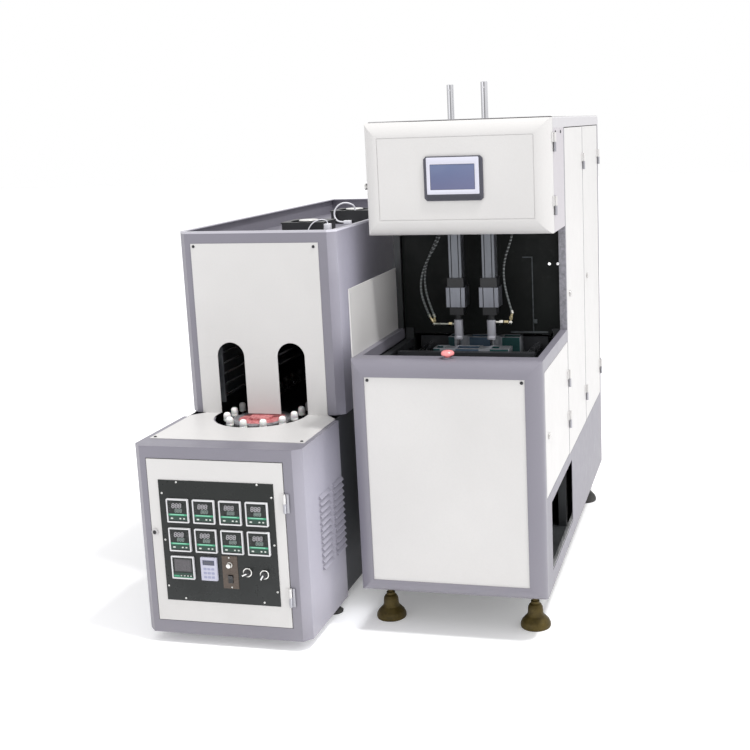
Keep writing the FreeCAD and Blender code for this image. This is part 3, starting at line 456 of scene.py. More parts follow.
def cam_lock():
    """black key barrel in a collar enamelled like the door"""
    k = Mat("black_lock")
    dx = k.math("SUBTRACT", k.xyz()[0], (-972 + OX) / 1000)
    dz = k.math("SUBTRACT", k.xyz()[2], 0.397)
    r = k.math("SQRT", k.math("ADD", k.math("MULTIPLY", dx, dx), k.math("MULTIPLY", dz, dz)))
    collar = k.math("GREATER_THAN", r, 0.0072)
    dark = k.mix(k.span(k.noise(30, 3), 0, 1), (0.022, 0.022, 0.024), (0.04, 0.04, 0.042))
    pale = k.mix(k.span(k.noise(30, 3), 0, 1), (0.42, 0.41, 0.42), (0.52, 0.51, 0.515))
    return k.finish(k.mix(collar, dark, pale), k.span(k.noise(40, 3), 0.32, 0.46), k.noise(300, 2), 0.00006, 0.4, 0.0004, spec=0.4)


m_lock_black = cam_lock()
m_silver = metal("knob_silver", (0.82, 0.81, 0.78), 0.22, (1, 40, 1), 120, 0.0, 0.05, grime=0.05)
m_screw = metal("screw_black", (0.05, 0.05, 0.055), 0.35, (1, 1, 1), 300, 0.0, 0.1, grime=0.1)
m_scrsil = metal("screw_silver", (0.86, 0.86, 0.84), 0.25, (1, 1, 1), 300, 0.0, 0.05, grime=0.03)


def enamel():
    """black enamelled instrument plate with the bronze regulator plate standing on it"""
    k = Mat("instrument_plate")
    high = k.span(k.xyz()[2], 0, 1, 0.17, 0.56)
    col = k.mix(high, k.mix(k.span(k.noise(6, 3), 0, 1), lin(0.12, 0.13, 0.13), lin(0.17, 0.18, 0.18)), lin(0.085, 0.10, 0.095))
    haze = k.span(k.noise(3.2, 3), 0, 1, 0.45, 0.8)
    col = k.mix(k.math("MULTIPLY", haze, 0.18), col, lin(0.24, 0.25, 0.25))
    f = k.inside((-736.5, None, 211.5), (-680.5, None, 326.5))
    bz = k.mix(k.span(k.noise(120, 5, 0.7, (1, 1, 8)), 0, 1), lin(0.27, 0.235, 0.21), lin(0.40, 0.355, 0.32))
    col = k.mix(f, col, bz)
    return k.finish(col, k.span(k.noise(18, 3), 0.24, 0.38), k.noise(300, 2), 0.00008, 0.4, 0.0006, coat=0.0, spec=0.3)


m_plate = enamel()


def screen_glass():
    k = Mat("screen_glass")
    z = k.span(k.xyz()[2], 0, 1, 1.494, 1.577)
    x = k.span(k.xyz()[0], 0, 1, (-84 + OX) / 1000, (73 + OX) / 1000)
    a = k.mix(z, lin(0.38, 0.395, 0.53), lin(0.38, 0.43, 0.56))
    b = k.mix(x, a, lin(0.41, 0.42, 0.53))
    col = k.mix(k.span(k.noise(9, 2), 0, 0.5, 0.3, 0.7), a, b)
    return k.finish(col, k.span(k.noise(40, 2), 0.10, 0.18), None, coat=0.15, spec=0.3)


m_screen = screen_glass()


def bronze():
    k = Mat("foot_bronze")
    col = k.mix(k.span(k.noise(22, 5, 0.7), 0, 1), lin(0.235, 0.195, 0.065), lin(0.34, 0.285, 0.115))
    chips = k.span(k.noise(90, 4, 0.7), 0, 1, 0.62, 0.72)
    col = k.mix(k.math("MULTIPLY", chips, 0.3), col, lin(0.50, 0.44, 0.24))
    k2 = k.mix(k.span(k.noise(35, 4), 0, 1), (0.018, 0.018, 0.018), (0.05, 0.048, 0.045))
    # feet far back (y beyond 1000) are painted near black as painted shade; the heater's feet (x below -400) take the
    # same dark colour
    other = k.math("MAXIMUM", k.inside((None, 1000, None), (None, None, None)), k.inside((None, None, None), (-400, None, None)))
    col = k.mix(other, col, k2)
    return k.finish(col, k.span(k.noise(40, 3), 0.42, 0.64), k.noise(160, 4), 0.0004, 0.5, 0.001,
                    metal=k.math("MULTIPLY", k.math("SUBTRACT", 1.0, other), 0.3), spec=0.35)


m_foot = bronze()


def hose_mat():
    """woven pressure hose: fine dark braid, with a painted highlight as a lighter crest on each ring"""
    k = Mat("braided_hose")
    z = k.xyz()[2]
    wob = k.math("MULTIPLY", k.noise(28, 3), 0.016)
    ring = k.math("SINE", k.math("MULTIPLY", k.math("ADD", z, wob), 2 * math.pi / 0.0125))
    cross = k.math("SINE", k.math("MULTIPLY", k.math("ADD", k.xyz()[0], k.xyz()[1]), 2 * math.pi / 0.0032))
    f = k.span(ring, 0, 1, 0.25, 1.0)
    # painted highlight: the lower half is a lighter, even grey
    col = k.mix(f, k.mix(k.span(z, 0, 1, 1.10, 1.22), lin(0.38, 0.40, 0.40), lin(0.14, 0.15, 0.15)), lin(0.52, 0.54, 0.54))
    col = k.mix(k.math("MULTIPLY", k.span(cross, 0, 1, -1, 1), 0.3), col, lin(0.14, 0.14, 0.14))
    h = k.math("ADD", k.math("MULTIPLY", ring, 0.5), k.math("MULTIPLY", cross, 0.3))
    return k.finish(col, k.span(k.noise(80, 3), 0.30, 0.46), h, 0.0003, 0.5, metal=0.3)


m_hose = hose_mat()


def quartz():
    k = Mat("lamp_quartz")
    col = k.mix(k.span(k.noise(20, 2, 0.5, (1, 0.1, 1)), 0, 1), (0.25, 0.25, 0.26), (0.40, 0.40, 0.42))
    k.b.inputs["Transmission Weight"].default_value = 0.6
    return k.finish(col, k.span(k.noise(50, 2), 0.08, 0.2), k.noise(200, 2), 0.00005, 0.3)


m_quartz = quartz()


def floor_mat():
    k = Mat("pale_floor")
    col = k.mix(k.span(k.noise(0.7, 3), 0, 1), lin(0.945, 0.945, 0.95), lin(0.965, 0.965, 0.968))
    k.b.inputs["Emission Color"].default_value = (1, 1, 1, 1)
    k.b.inputs["Emission Strength"].default_value = 0.2
    return k.finish(col, 0.75, k.noise(30, 3), 0.0003, 0.2, spec=0.2)


NODE_MATS = dict(
    blower_frame=m_frame, front_bezel=m_bezel, front_panel=m_white, side_panel_right=m_sheet_in,
    rear_left_cladding=m_sheet_in, guard_panel=m_white, back_wall=m_wall, roof_panel=m_roof,
    control_box_shell=m_shell, control_box_door=m_white, box_latch=m_lock, door_hinges=m_hinge,
    lower_side_door=m_white, front_tall_door=m_white, rear_tall_door=m_white, lower_door_lock=m_lock,
    front_door_lock=m_lock, rear_door_lock=m_lock, bridge_plate=m_steel, stretch_cylinders=m_alu,
    stretch_rod_left=m_chrome, stretch_rod_right=m_chrome, seal_cylinders=m_seal, blow_nozzle_left=m_chrome,
    blow_nozzle_right=m_chrome, mould_half_front=m_mould, mould_half_rear=m_mould, platen_front=m_oxide,
    platen_rear=m_oxide, tie_bars=m_tie, clamp_cylinders=m_clamp, levelling_feet=m_foot, heater_cabinet=m_grey,
    heater_rear_base=m_base_shade, heater_door=m_white, heater_door_lock=m_lock_black, instrument_plate=m_plate,
    rocker_switch=m_knob, top_plate=m_white, tower_shell=m_tower, tower_panel=m_white, fan_housings=m_fan,
    fan_rotor_front=m_rotor, fan_rotor_rear=m_rotor, sprocket_front=m_disc, sprocket_rear=m_disc,
    drive_gearmotor=m_motor, lamp_tubes=m_quartz)
for n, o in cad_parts.items():
    mm = NODE_MATS.get(n)
    if mm is not None:
        o.data.materials.clear()
        o.data.materials.append(mm)


# ------------------------------------------------------------------ mesh builder
class Piece:
    """collects lofted shapes, in working mm, into one mesh that rides on a body"""

    def __init__(self, name, body):
        self.name, self.body, self.bm, self.mats = name, body, bmesh.new(), []

    def mi(self, mat):
        if mat not in self.mats:
            self.mats.append(mat)
        return self.mats.index(mat)

    def loft(self, mat, rings, cap0=True, cap1=True, closed=True, loop=False):
        bm, k = self.bm, self.mi(mat)
        rows = [[bm.verts.new(P(*p)) for p in r] for r in rings]
        n = len(rows[0])
        pairs = list(zip(rows, rows[1:])) + ([(rows[-1], rows[0])] if loop else [])
        for a, b in pairs:
            for i in range(n if closed else n - 1):
                j = (i + 1) % n
                f = bm.faces.new((a[i], a[j], b[j], b[i]))
                f.material_index, f.smooth = k, True
        if cap0 and not loop:
            f = bm.faces.new(list(reversed(rows[0])))
            f.material_index = k
        if cap1 and not loop:
            f = bm.faces.new(rows[-1])
            f.material_index = k

    def plate(self, mat, x0, x1, z0, z1, y0, y1, corner=1.0, edge=0.5, seg=3, back=True):
        """rounded plate facing -y: y0 is the front"""
        rs = [(edge, y0), (edge * 0.3, y0 + edge * 0.3), (0, y0 + edge), (0, y1)]
        rings = [[(x, y, z) for x, z in rrect(x0 + i, x1 - i, z0 + i, z1 - i, max(corner - i * 0.6, 0.05), seg)] for i, y in rs]
        self.loft(mat, rings, True, back)

    def ring(self, mat, x0, x1, z0, z1, prof, corner=2.0, seg=3):
        """picture frame: prof is a list of (inset, y) from the outer back edge to the inner back edge"""
        rings = [[(x, y, z) for x, z in rrect(x0 + i, x1 - i, z0 + i, z1 - i, max(corner - i * 0.5, 0.3), seg)] for i, y in prof]
        self.loft(mat, rings, False, False)

    def lathe(self, mat, prof, at, axis="z", n=24, cap0=False, cap1=False, a0=0.0):
        """prof is (radius, height) along the axis from the point at"""
        rings = []
        for r, h in prof:
            ring = []
            for i in range(n):
                a = a0 + 2 * math.pi * i / n
                c, s = r * math.cos(a), r * math.sin(a)
                if axis == "z":
                    ring.append((at[0] + c, at[1] + s, at[2] + h))
                elif axis == "y":
                    ring.append((at[0] + c, at[1] + h, at[2] - s))
                else:
                    ring.append((at[0] + h, at[1] + c, at[2] + s))
            rings.append(ring)
        self.loft(mat, rings, cap0, cap1)

    def poly(self, mat, pts, y0, y1, z=None):
        """flat outline of (x, z) pulled from y1 to the front face y0"""
        self.loft(mat, [[(x, y0, zz) for x, zz in pts], [(x, y1, zz) for x, zz in pts]], True, True)

    def tube(self, mat, pts, r, n=12):
        """tube through points in working mm, with closed ends"""
        rings = []
        prev = None
        for i, p in enumerate(pts):
            a, b = Vector(pts[max(i - 1, 0)]), Vector(pts[min(i + 1, len(pts) - 1)])
            d = (b - a).normalized()
            if prev is None:
                ref = Vector((0, 0, 1)) if abs(d.z) < 0.9 else Vector((1, 0, 0))
                e1 = d.cross(ref).normalized()
            else:
                e1 = (prev - d * prev.dot(d)).normalized()
            prev = e1
            e2 = d.cross(e1)
            rings.append([tuple(Vector(p) + (e1 * math.cos(2 * math.pi * k / n) + e2 * math.sin(2 * math.pi * k / n)) * r) for k in range(n)])
        self.loft(mat, rings, True, True)

    def stick(self, mat, a, b, prof, n=6):
        """turned or hexagonal piece from a to b: prof is (radius, share of the way)"""
        a, b = Vector(a), Vector(b)
        d = (b - a).normalized()
        ref = Vector((0, 0, 1)) if abs(d.z) < 0.9 else Vector((1, 0, 0))
        e1 = d.cross(ref).normalized()
        e2 = d.cross(e1)
        rings = [[tuple(a + (b - a) * t + (e1 * math.cos(2 * math.pi * k / n) + e2 * math.sin(2 * math.pi * k / n)) * r) for k in range(n)]
                 for r, t in prof]
        self.loft(mat, rings, True, True)

    def done(self, *replaced, angle=35):
        bmesh.ops.recalc_face_normals(self.bm, faces=self.bm.faces)
        me = bpy.data.meshes.new(self.name)
        self.bm.to_mesh(me)
        self.bm.free()
        for mt in self.mats:
            me.materials.append(mt)
        me.polygons.foreach_set("use_smooth", [True] * len(me.polygons))
        me.set_sharp_from_angle(angle=math.radians(angle))
        o = bpy.data.objects.new(self.name, me)
        S.collection.objects.link(o)
        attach(o, self.body)
        if replaced:
            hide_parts(*replaced)
        return o


def rrect(x0, x1, z0, z1, r, seg=3):
    r = min(r, (x1 - x0) / 2 - 0.01, (z1 - z0) / 2 - 0.01)
    out = []
    for cx, cz, a0 in ((x1 - r, z0 + r, -90), (x1 - r, z1 - r, 0), (x0 + r, z1 - r, 90), (x0 + r, z0 + r, 180)):
        for i in range(seg + 1):
            a = math.radians(a0 + 90 * i / seg)
            out.append((cx + r * math.cos(a), cz + r * math.sin(a)))
    return out


# ------------------------------------------------------------------ hoses and leads
def cord_curve(name, pts, r, mat, body, node, res=10):
    c = bpy.data.curves.new(name, "CURVE")
    c.dimensions = "3D"
    s = c.splines.new("NURBS")
    s.points.add(len(pts) - 1)
    for q, p in zip(s.points, pts):
        q.co = (*P(*p), 1)
    s.order_u = 3
    s.use_endpoint_u = True
    s.resolution_u = res
    c.bevel_depth = r / 1000
    c.bevel_resolution = 4
    c.use_fill_caps = True
    c.materials.append(mat)
    o = bpy.data.objects.new(name, c)
    S.collection.objects.link(o)
    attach(o, body)
    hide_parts(node)
    return o


HOSES = dict(
    air_hose_left=[(-108, 490, 1380), (-112, 489, 1330), (-134, 486, 1280), (-166, 483, 1232), (-190, 482, 1178),
                   (-198, 483, 1124), (-189, 485, 1073), (-172, 489, 1028)],
    air_hose_middle=[(-118, 503, 1380), (-124, 503, 1330), (-144, 502, 1283), (-169, 500, 1234), (-184, 498, 1180),
                     (-184, 496, 1127), (-172, 494, 1075), (-154, 491, 1028)],
    air_hose_right=[(152, 490, 1380), (150, 489, 1336), (139, 487, 1288), (121, 485, 1242), (112, 484, 1192),
                    (114, 485, 1140), (124, 487, 1089), (136, 490, 1044)])
for n, pts in HOSES.items():
    o = cord_curve(n, pts, 4.0, m_hose, "frame", "air_hoses")

LEADS = dict(
    fan_lead_rear=([(-706, 1282, 1351.5), (-706, 1282, 1366), (-716, 1270, 1380), (-740, 1262, 1388), (-770, 1259, 1381), (-791, 1257, 1358),
                    (-795, 1255, 1332), (-784, 1253, 1311), (-766, 1252, 1304), (-750, 1252, 1304)], 3.6, 0.204),
    fan_lead_front=([(-632, 728, 1344), (-632, 727, 1354), (-640, 714, 1361), (-658, 698, 1362), (-682, 691, 1350), (-698, 688, 1326),
                     (-703, 687, 1308), (-703, 687, 1295.4)], 2.2, 0.137))


def plug_block(name, x0, x1, y0, y1, z0, z1, ribs):
    """small moulded plug: rounded block with grip ribs across it"""
    p = Piece(name, "frame")
    rings = []
    for i, z in ((1.6, z0), (0.4, z0 + 0.7), (0, z0 + 1.8), (0, z1 - 2.0), (0.6, z1 - 0.8), (2.4, z1)):
        rings.append([(x, y, z) for x, y in rrect(x0 + i, x1 - i, y0 + i * 0.8, y1 - i * 0.8, max(3 - i * 0.5, 0.8), 4)])
    p.loft(m_cable, rings)
    for q in range(ribs):
        x = x0 + (x1 - x0) * (0.28 + 0.44 * q / max(ribs - 1, 1))
        p.loft(m_cable, [[(xx, y, z) for y, z in rrect(y0 - 0.4, y1 + 0.4, z0 + 1.2, z1 - 0.6, 2.5, 4)] for xx in (x - 1.1, x + 1.1)])
    return p.done("fan_cable")


PLUGS = dict(fan_lead_rear=plug_block("fan_plug_rear", -750, -716, 1243, 1261, 1295, 1311, 4),
             fan_lead_front=plug_block("fan_plug_front", -646, -620, 715, 741, 1316, 1344, 3))
for n, (pts, r, ln) in LEADS.items():
    lead = cord_curve(n, pts, r, m_cable, "frame", "fan_cable")

# ------------------------------------------------------------------ operator terminal
t = Piece("operator_terminal", "operator_door")
x0, x1, z0, z1, yf, yb = -106, 98, 1456, 1605, 254.0, 262.0


def chamfered(i, y, c=9.0):
    a, b, d, e = x0 + i, x1 - i, z0 + i, z1 - i
    c = max(c - i * 0.5, 1.0)
    return [(a + c, y, d), (b - c, y, d), (b, y, d + c), (b, y, e - c), (b - c, y, e), (a + c, y, e), (a, y, e - c), (a, y, d + c)]


t.loft(m_hmi_dark, [chamfered(0, yb), chamfered(0, yf + 2.2), chamfered(0.7, yf + 1.2), chamfered(3.0, yf + 0.9), chamfered(4.0, yf + 1.6)], True, True)
for i in range(5):      # shallow ribs along the lower rim
    t.plate(m_hmi_dark, -96, 88, 1459.6 + i * 3.0, 1461.2 + i * 3.0, yf + 0.5, yf + 1.4, 0.6, 0.2)
fx0, fx1, fz0, fz1 = -96, 85, 1478, 1601.5
sx0, sx1, sz0, sz1 = -84.0, 70.5, 1493.0, 1578.5
# white face as a frame round the screen, its lip falling to the glass
outer = rrect(fx0, fx1, fz0, fz1, 3.0, 4)
prof = []
for (ax, az), (bx, bz) in zip(outer, rrect(sx0, sx1, sz0, sz1, 2.0, 4)):
    prof.append(((ax, az), (bx, bz)))
t.loft(m_hmi_face, [[(a[0], yf + 2.2, a[1]) for a, b in prof],
                    [(a[0], yf + 0.5, a[1]) for a, b in prof],
                    [(a[0] + (b[0] - a[0]) * 0.05, yf + 0.1, a[1] + (b[1] - a[1]) * 0.05) for a, b in prof],
                    [(a[0] + (b[0] - a[0]) * 0.93, yf + 0.1, a[1] + (b[1] - a[1]) * 0.93) for a, b in prof],
                    [(b[0], yf + 0.7, b[1]) for a, b in prof],
                    [(b[0], yf + 2.6, b[1]) for a, b in prof]], False, False)
t.done("operator_panel")
g = Piece("operator_screen", "operator_door")
g.plate(m_screen, sx0 - 1, sx1 + 1, sz0 - 1, sz1 + 1, yf + 1.1, yf + 2.4, 1.5, 0.2)
# dark border under the glass and the shallow window round the picture
g.ring(m_hmi_dark, sx0 - 0.6, sx1 + 0.6, sz0 - 0.6, sz1 + 0.6, [(0, yf + 2.2), (0, yf + 1.0), (1.6, yf + 0.95), (1.8, yf + 1.2)], 1.5)
g.done()

# ------------------------------------------------------------------ instruments
PF = -175.0
SEG = {"a": ((0.12, 1.0), (0.88, 1.0)), "b": ((0.94, 0.95), (0.94, 0.53)), "c": ((0.94, 0.47), (0.94, 0.05)), "d": ((0.12, 0.0), (0.88, 0.0)),
       "e": ((0.06, 0.05), (0.06, 0.47)), "f": ((0.06, 0.53), (0.06, 0.95)), "g": ((0.12, 0.5), (0.88, 0.5))}


def digit(p, mat, x, z, w_, h, y, seg="abcdefg", th=1.35):
    """seven-segment figure with its lower left corner at x, z"""
    for s in seg:
        (ax, az), (bx, bz) = SEG[s]
        a = Vector((x + ax * w_ + (h * 0.15) * az, z + az * h))
        b = Vector((x + bx * w_ + (h * 0.15) * bz, z + bz * h))
        d = (b - a).normalized()
        q = Vector((-d.y, d.x)) * th / 2
        e = d * th / 2
        pts = [a, a + e + q, b - e + q, b, b - e - q, a + e - q]
        p.poly(mat, [(v.x, v.y) for v in pts], y - 0.25, y + 0.2)


def bezel(p, a, b, c, d, wdt=4.1, mat=None, deep=3.2):
    p.ring(mat or m_bez, a, b, c, d, [(0, PF), (0, PF - 7.6), (0.35, PF - 8.6), (1.1, PF - 9), (wdt - 0.9, PF - 9), (wdt - 0.2, PF - 8.6),
                                      (wdt, PF - 8), (wdt + 0.2, PF - 9 + deep)], 2.6, 4)
    p.plate(m_case, a + 4.2, b - 4.2, c + 4.2, d - 4.2, PF - 8.2 + deep, PF + 73, 1.0, 0.2)


ins = Piece("instruments", "heater_door")
for j, zb in enumerate((436, 335)):
    for i in range(4):
        a, b, c, d = -919 + 94 * i, -841 + 94 * i, zb, zb + 82
        bezel(ins, a, b, c, d)
        yf_ = PF - 9 + 3.0
        ins.plate(m_face, a + 4.9, b - 4.9, c + 4.9, d - 4.9, yf_, yf_ + 1.2, 1.0, 0.15)
        # display window, two rows of figures, the lower row set to the right
        ins.ring(m_case, a + 14, b - 11, c + 31, d - 10, [(0, yf_ + 0.1), (0.2, yf_ - 0.5), (1.0, yf_ - 0.5), (1.2, yf_ + 0.05)], 1.5)
        for q in range(3):
            digit(ins, m_dig1, a + 18.5 + q * 12.0, c + 51.5, 9.2, 14.5, yf_ - 0.05, "abcdefg", 2.4)
        for q in range(3):
            digit(ins, m_dig2, a + 28.5 + q * 9.0, c + 36.0, 6.8, 11.0, yf_ - 0.05, "abcdefg", 1.9)
        for q in range(3):       # small lamps at both sides
            ins.lathe(m_led, [(1.2, 0.2), (1.1, -0.6), (0.6, -0.9), (0.01, -1.0)], (a + 10, yf_, c + 42 + q * 8), "y", 8)
        ins.lathe(m_led, [(1.2, 0.2), (1.1, -0.6), (0.6, -0.9), (0.01, -1.0)], (b - 9, yf_, c + 56), "y", 8)
        ins.plate(m_green, a + 5.6, b - 5.6, c + 24.5, c + 30.6, yf_ - 0.35, yf_ + 0.3, 0.4, 0.1)
        ins.plate(m_glow, a + 12, b - 16, c + 27.2, c + 29.0, yf_ - 0.5, yf_ + 0.3, 0.4, 0.1)
        ins.plate(m_dgreen, a + 5.6, b - 5.6, c + 8.6, c + 24.3, yf_ - 0.25, yf_ + 0.3, 0.4, 0.1)
        for q, kx in enumerate((12.5, 44.0, 57.5)):
            ins.plate(m_key, a + kx, a + kx + (9.0 if q == 0 else 6.6), c + 12.4, c + 17.2, yf_ - 1.0, yf_ + 0.3, 1.8, 0.4)
# power meter: one large dim display over a green-edged key row
a, b, c, d = -918, -836, 238, 318
bezel(ins, a, b, c, d)
ins.plate(m_face, a + 4.9, b - 4.9, c + 4.9, d - 4.9, yf_, yf_ + 1.2, 1.0, 0.15)
ins.ring(m_case, a + 9, b - 9, c + 25, d - 9, [(0, yf_ + 0.1), (0.2, yf_ - 0.6), (1.4, yf_ - 0.6), (1.7, yf_ + 0.05)], 1.5)
ins.plate(m_dim, a + 10.6, b - 10.6, c + 26.6, d - 10.6, yf_ - 0.15, yf_ + 0.3, 1.0, 0.1)
for q in range(4):
    digit(ins, m_dimdig, a + 17 + q * 12.4, c + 50, 8.6, 15, yf_ - 0.2, "abcdefg", 2.0)
    digit(ins, m_dimdig, a + 17 + q * 12.4, c + 30, 8.6, 14, yf_ - 0.2, "abcdefg", 2.0)
ins.plate(m_green, a + 6, a + 26, c + 8, c + 13, yf_ - 0.35, yf_ + 0.3, 0.8, 0.1)
ins.plate(m_dgreen, a + 6, b - 6, c + 14, c + 21.5, yf_ - 0.25, yf_ + 0.3, 0.6, 0.1)
for kx in (30, 42, 54, 65):
    ins.plate(m_key, a + kx, a + kx + 5.5, c + 9.3, c + 13.2, yf_ - 1.0, yf_ + 0.3, 1.6, 0.4)
ins.plate(m_green, a + 6, b - 6, c + 5.5, c + 7.2, yf_ - 0.3, yf_ + 0.3, 0.4, 0.1)
# counter: pale case, dark window and six keys
a, b, c, d = -811, -753, 238, 319
bezel(ins, a, b, c, d, 3.0, m_ctr, 1.2)
ins.plate(m_ctr, a + 2.8, b - 2.8, c + 2.8, d - 2.8, PF - 8.2, PF - 6.6, 1.2, 0.2)
ins.ring(m_ctr, a + 6.5, b - 6.5, c + 53, d - 8, [(0, PF - 8.1), (0.2, PF - 8.8), (1.0, PF - 8.9), (1.4, PF - 8.0)], 1.2)
ins.plate(m_ctr_win, a + 7.8, b - 7.8, c + 54.3, d - 9.3, PF - 8.4, PF - 7.6, 0.8, 0.1)
for q in range(5):
    digit(ins, m_led, a + 12.5 + q * 6.8, c + 58, 4.4, 9.5, PF - 8.4, "abcdefg", 1.0)
for r in range(3):
    for q in range(3):
        ins.plate(m_ctr_key, a + 9.5 + q * 14, a + 20.5 + q * 14, c + 8 + r * 14.5, c + 16 + r * 14.5, PF - 9.0, PF - 7.8, 1.6, 0.5)
ins.done("temp_controllers")

# screws of the plate and of the regulator plate, each with its slot at its own angle
sc = Piece("plate_screws", "heater_door")


def pan_screw(p, mat, x, z, y, r=3.6, h=2.0, ang=0.0, slot=None):
    p.lathe(mat, [(r, 0.0), (r, -h * 0.35), (r * 0.86, -h * 0.75), (r * 0.55, -h * 0.97), (r * 0.5, -h)], (x, y, z), "y", 18, False, True)
    c_, s_ = math.cos(ang), math.sin(ang)
    for q in ((c_, s_), (-s_, c_)):
        n_ = (-q[1], q[0])
        L, T = r * 0.55, r * 0.11
        pts = [(x + q[0] * L * u + n_[0] * T * v, z + q[1] * L * u + n_[1] * T * v) for u, v in ((-1, -1), (1, -1), (1, 1), (-1, 1))]
        p.poly(slot or m_screw, pts, y - h - 0.12, y - h + 0.3)


for q, (x, z) in enumerate(((-880, 575), (-593, 577), (-935, 535), (-936, 372), (-937, 209), (-878, 167), (-594, 169),
                            (-545, 535), (-545, 372), (-545, 209))):
    pan_screw(sc, m_scrsil, x, z, PF, 3.6, 2.1, 0.4 + q * 0.83)
for q, (x, z) in enumerate(((-710, 321), (-706, 217))):
    pan_screw(sc, m_scrsil, x, z, PF - 2, 3.0, 1.8, 0.9 + q)
sc.done()


# ------------------------------------------------------------------ knobs
def selector(name, x, z, ang):
    """rotary switch: bright collar, black grip across it and a white pointer along the grip"""
    p = Piece(name, name)
    y = PF
    p.lathe(m_silver, [(16.4, -0.7), (16.4, -3.2), (15.6, -4.6), (14.2, -5.2), (12.6, -5.2), (12.2, -4.4), (12.0, -3.0)], (x, y, z), "y", 40)
    p.lathe(m_knob, [(12.2, -3.2), (12.0, -9.5), (11.0, -12.6), (9.0, -13.8), (4.0, -14.2), (0.01, -14.2)], (x, y, z), "y", 32)
    c_, s_ = math.cos(ang), math.sin(ang)

    def q(u, v):
        return (x + c_ * u - s_ * v, z + s_ * u + c_ * v)
    # grip, tapering towards its tail
    o_ = [q(14.6, 2.6), q(14.6, -2.6), q(10, -4.4), q(-10, -4.0), q(-13.5, -2.0), q(-13.5, 2.0), q(-10, 4.0), q(10, 4.4)]
    cx_, cz_ = x, z
    rings = []
    for kf, yy in ((1.0, y - 8), (1.0, y - 17.0), (0.93, y - 19.2), (0.8, y - 20.0)):
        rings.append([(cx_ + (a_ - cx_) * kf, yy, cz_ + (b_ - cz_) * kf) for a_, b_ in o_])
    p.loft(m_knob, rings)
    p.poly(m_mark, [q(14.2, 2.3), q(14.2, -2.3), q(-3.5, -1.9), q(-3.5, 1.9)], y - 20.2, y - 16.0)
    p.poly(m_mark, [q(15.0, 2.4), q(15.0, -2.4), q(13.8, -2.4), q(13.8, 2.4)], y - 19.0, y - 9.0)
    return p.done(name)


selector("selector_left", -646, 273, math.radians(207))
selector("selector_right", -586, 269, math.radians(238))
rg = Piece("regulator_knob", "regulator_knob")
prof = [(7.5, -2.7), (9.4, -3.2), (9.8, -4.4), (9.8, -5.4), (8.6, -6.2), (8.6, -13.6), (7.8, -15.6), (6.2, -16.8), (0.01, -17.0)]
n_ = 36
rings = []
for r, h in prof:
    rings.append([(-708 + (r - (0.45 if (i % 2 and -14 < h < -6) else 0)) * math.cos(2 * math.pi * i / n_), PF + h,
                   296 - (r - (0.45 if (i % 2 and -14 < h < -6) else 0)) * math.sin(2 * math.pi * i / n_)) for i in range(n_)])
rg.loft(m_silver, rings, False, False)
rg.poly(m_screw, [(-708.6, 297.5), (-707.4, 297.5), (-707.4, 302.3), (-708.6, 302.3)], PF - 17.15, PF - 16)
rg.done("regulator_knob")

# ------------------------------------------------------------------ spindles, chain
CX, CY, CR, N_SP, PITCH = -747.0, 245.0, 124.0, 52, 72.2
CY2 = CY + (N_SP * PITCH - 2 * math.pi * CR) / 2
straight, arc = CY2 - CY, math.pi * CR
S0 = math.radians(262 - 180) * CR


def on_loop(s, r=CR):
    s %= 2 * (straight + arc)
    if s < arc:
        a = math.pi + s / CR
        return CX + r * math.cos(a), CY + r * math.sin(a), a + math.pi / 2
    s -= arc
    if s < straight:
        return CX + r, CY + s, math.pi / 2
    s -= straight
    if s < arc:
        a = s / CR
        return CX + r * math.cos(a), CY2 + r * math.sin(a), a + math.pi / 2
    return CX - r, CY2 - (s - arc), -math.pi / 2


sp = Piece("preform_spindles", "frame")
cap = [(8.2, 679.5), (11.6, 680.2), (12.9, 681.2), (13.2, 683), (13.2, 687.2), (12.3, 688.2), (12.3, 689.4), (12.9, 690.4), (12.6, 703.2),
       (12.0, 706.2), (10.6, 709.2), (8.6, 711.3), (6.8, 711.9), (6.3, 711.2), (6.1, 706), (0.01, 705.4)]
for k in range(N_SP):
    x, y, _ = on_loop(S0 + k * PITCH)
    sp.lathe(m_chrome, [(8, 668.1), (8, 673), (7.2, 673.6), (7.2, 676), (8, 676.6), (8, 680.4)], (x, y, 0), "z", 16)
    sp.lathe(m_cap, cap, (x, y, 0), "z", 22)
sp.done("spindles")

ch = Piece("spindle_chain", "frame")
NL = N_SP * 3
PL = PITCH / 3
for k in range(NL):
    x, y, a = on_loop(S0 + k * PL)
    ch.lathe(m_chain, [(0.01, 655.9), (3.6, 655.9), (4.0, 656.6), (4.0, 668.0), (3.4, 668.1), (0.01, 668.1)], (x, y, 0), "z", 8)
    xa, ya, _ = on_loop(S0 + (k + 1) * PL)
    d = Vector((xa - x, ya - y, 0))
    L = d.length
    d.normalize()
    nrm_ = Vector((-d.y, d.x, 0))
    c = Vector(((x + xa) / 2, (y + ya) / 2, 0))
    out = 0.0 if k % 2 else 1.0
    for zc in ((656.4 + (1 - out) * 2.0), (665.9 - (1 - out) * 2.0)):
        rings = []
        for zz in (zc, zc + 1.5):
            ring = []
            for u, v in ((1.0, 0.0), (0.93, 0.62), (0.72, 1.0), (0.4, 0.86), (0, 0.72), (-0.4, 0.86), (-0.72, 1.0), (-0.93, 0.62),
                         (-1.0, 0.0), (-0.93, -0.62), (-0.72, -1.0), (-0.4, -0.86), (0, -0.72), (0.4, -0.86), (0.72, -1.0), (0.93, -0.62)):
                q = c + d * (u * (L / 2 + 5.5)) + nrm_ * (v * 7.4)
                ring.append((q.x, q.y, zz))
            rings.append(ring)
        ch.loft(m_chain, rings)
ch.done("chain")

# ------------------------------------------------------------------ hose fittings
ft = Piece("hose_fittings_detail", "frame")


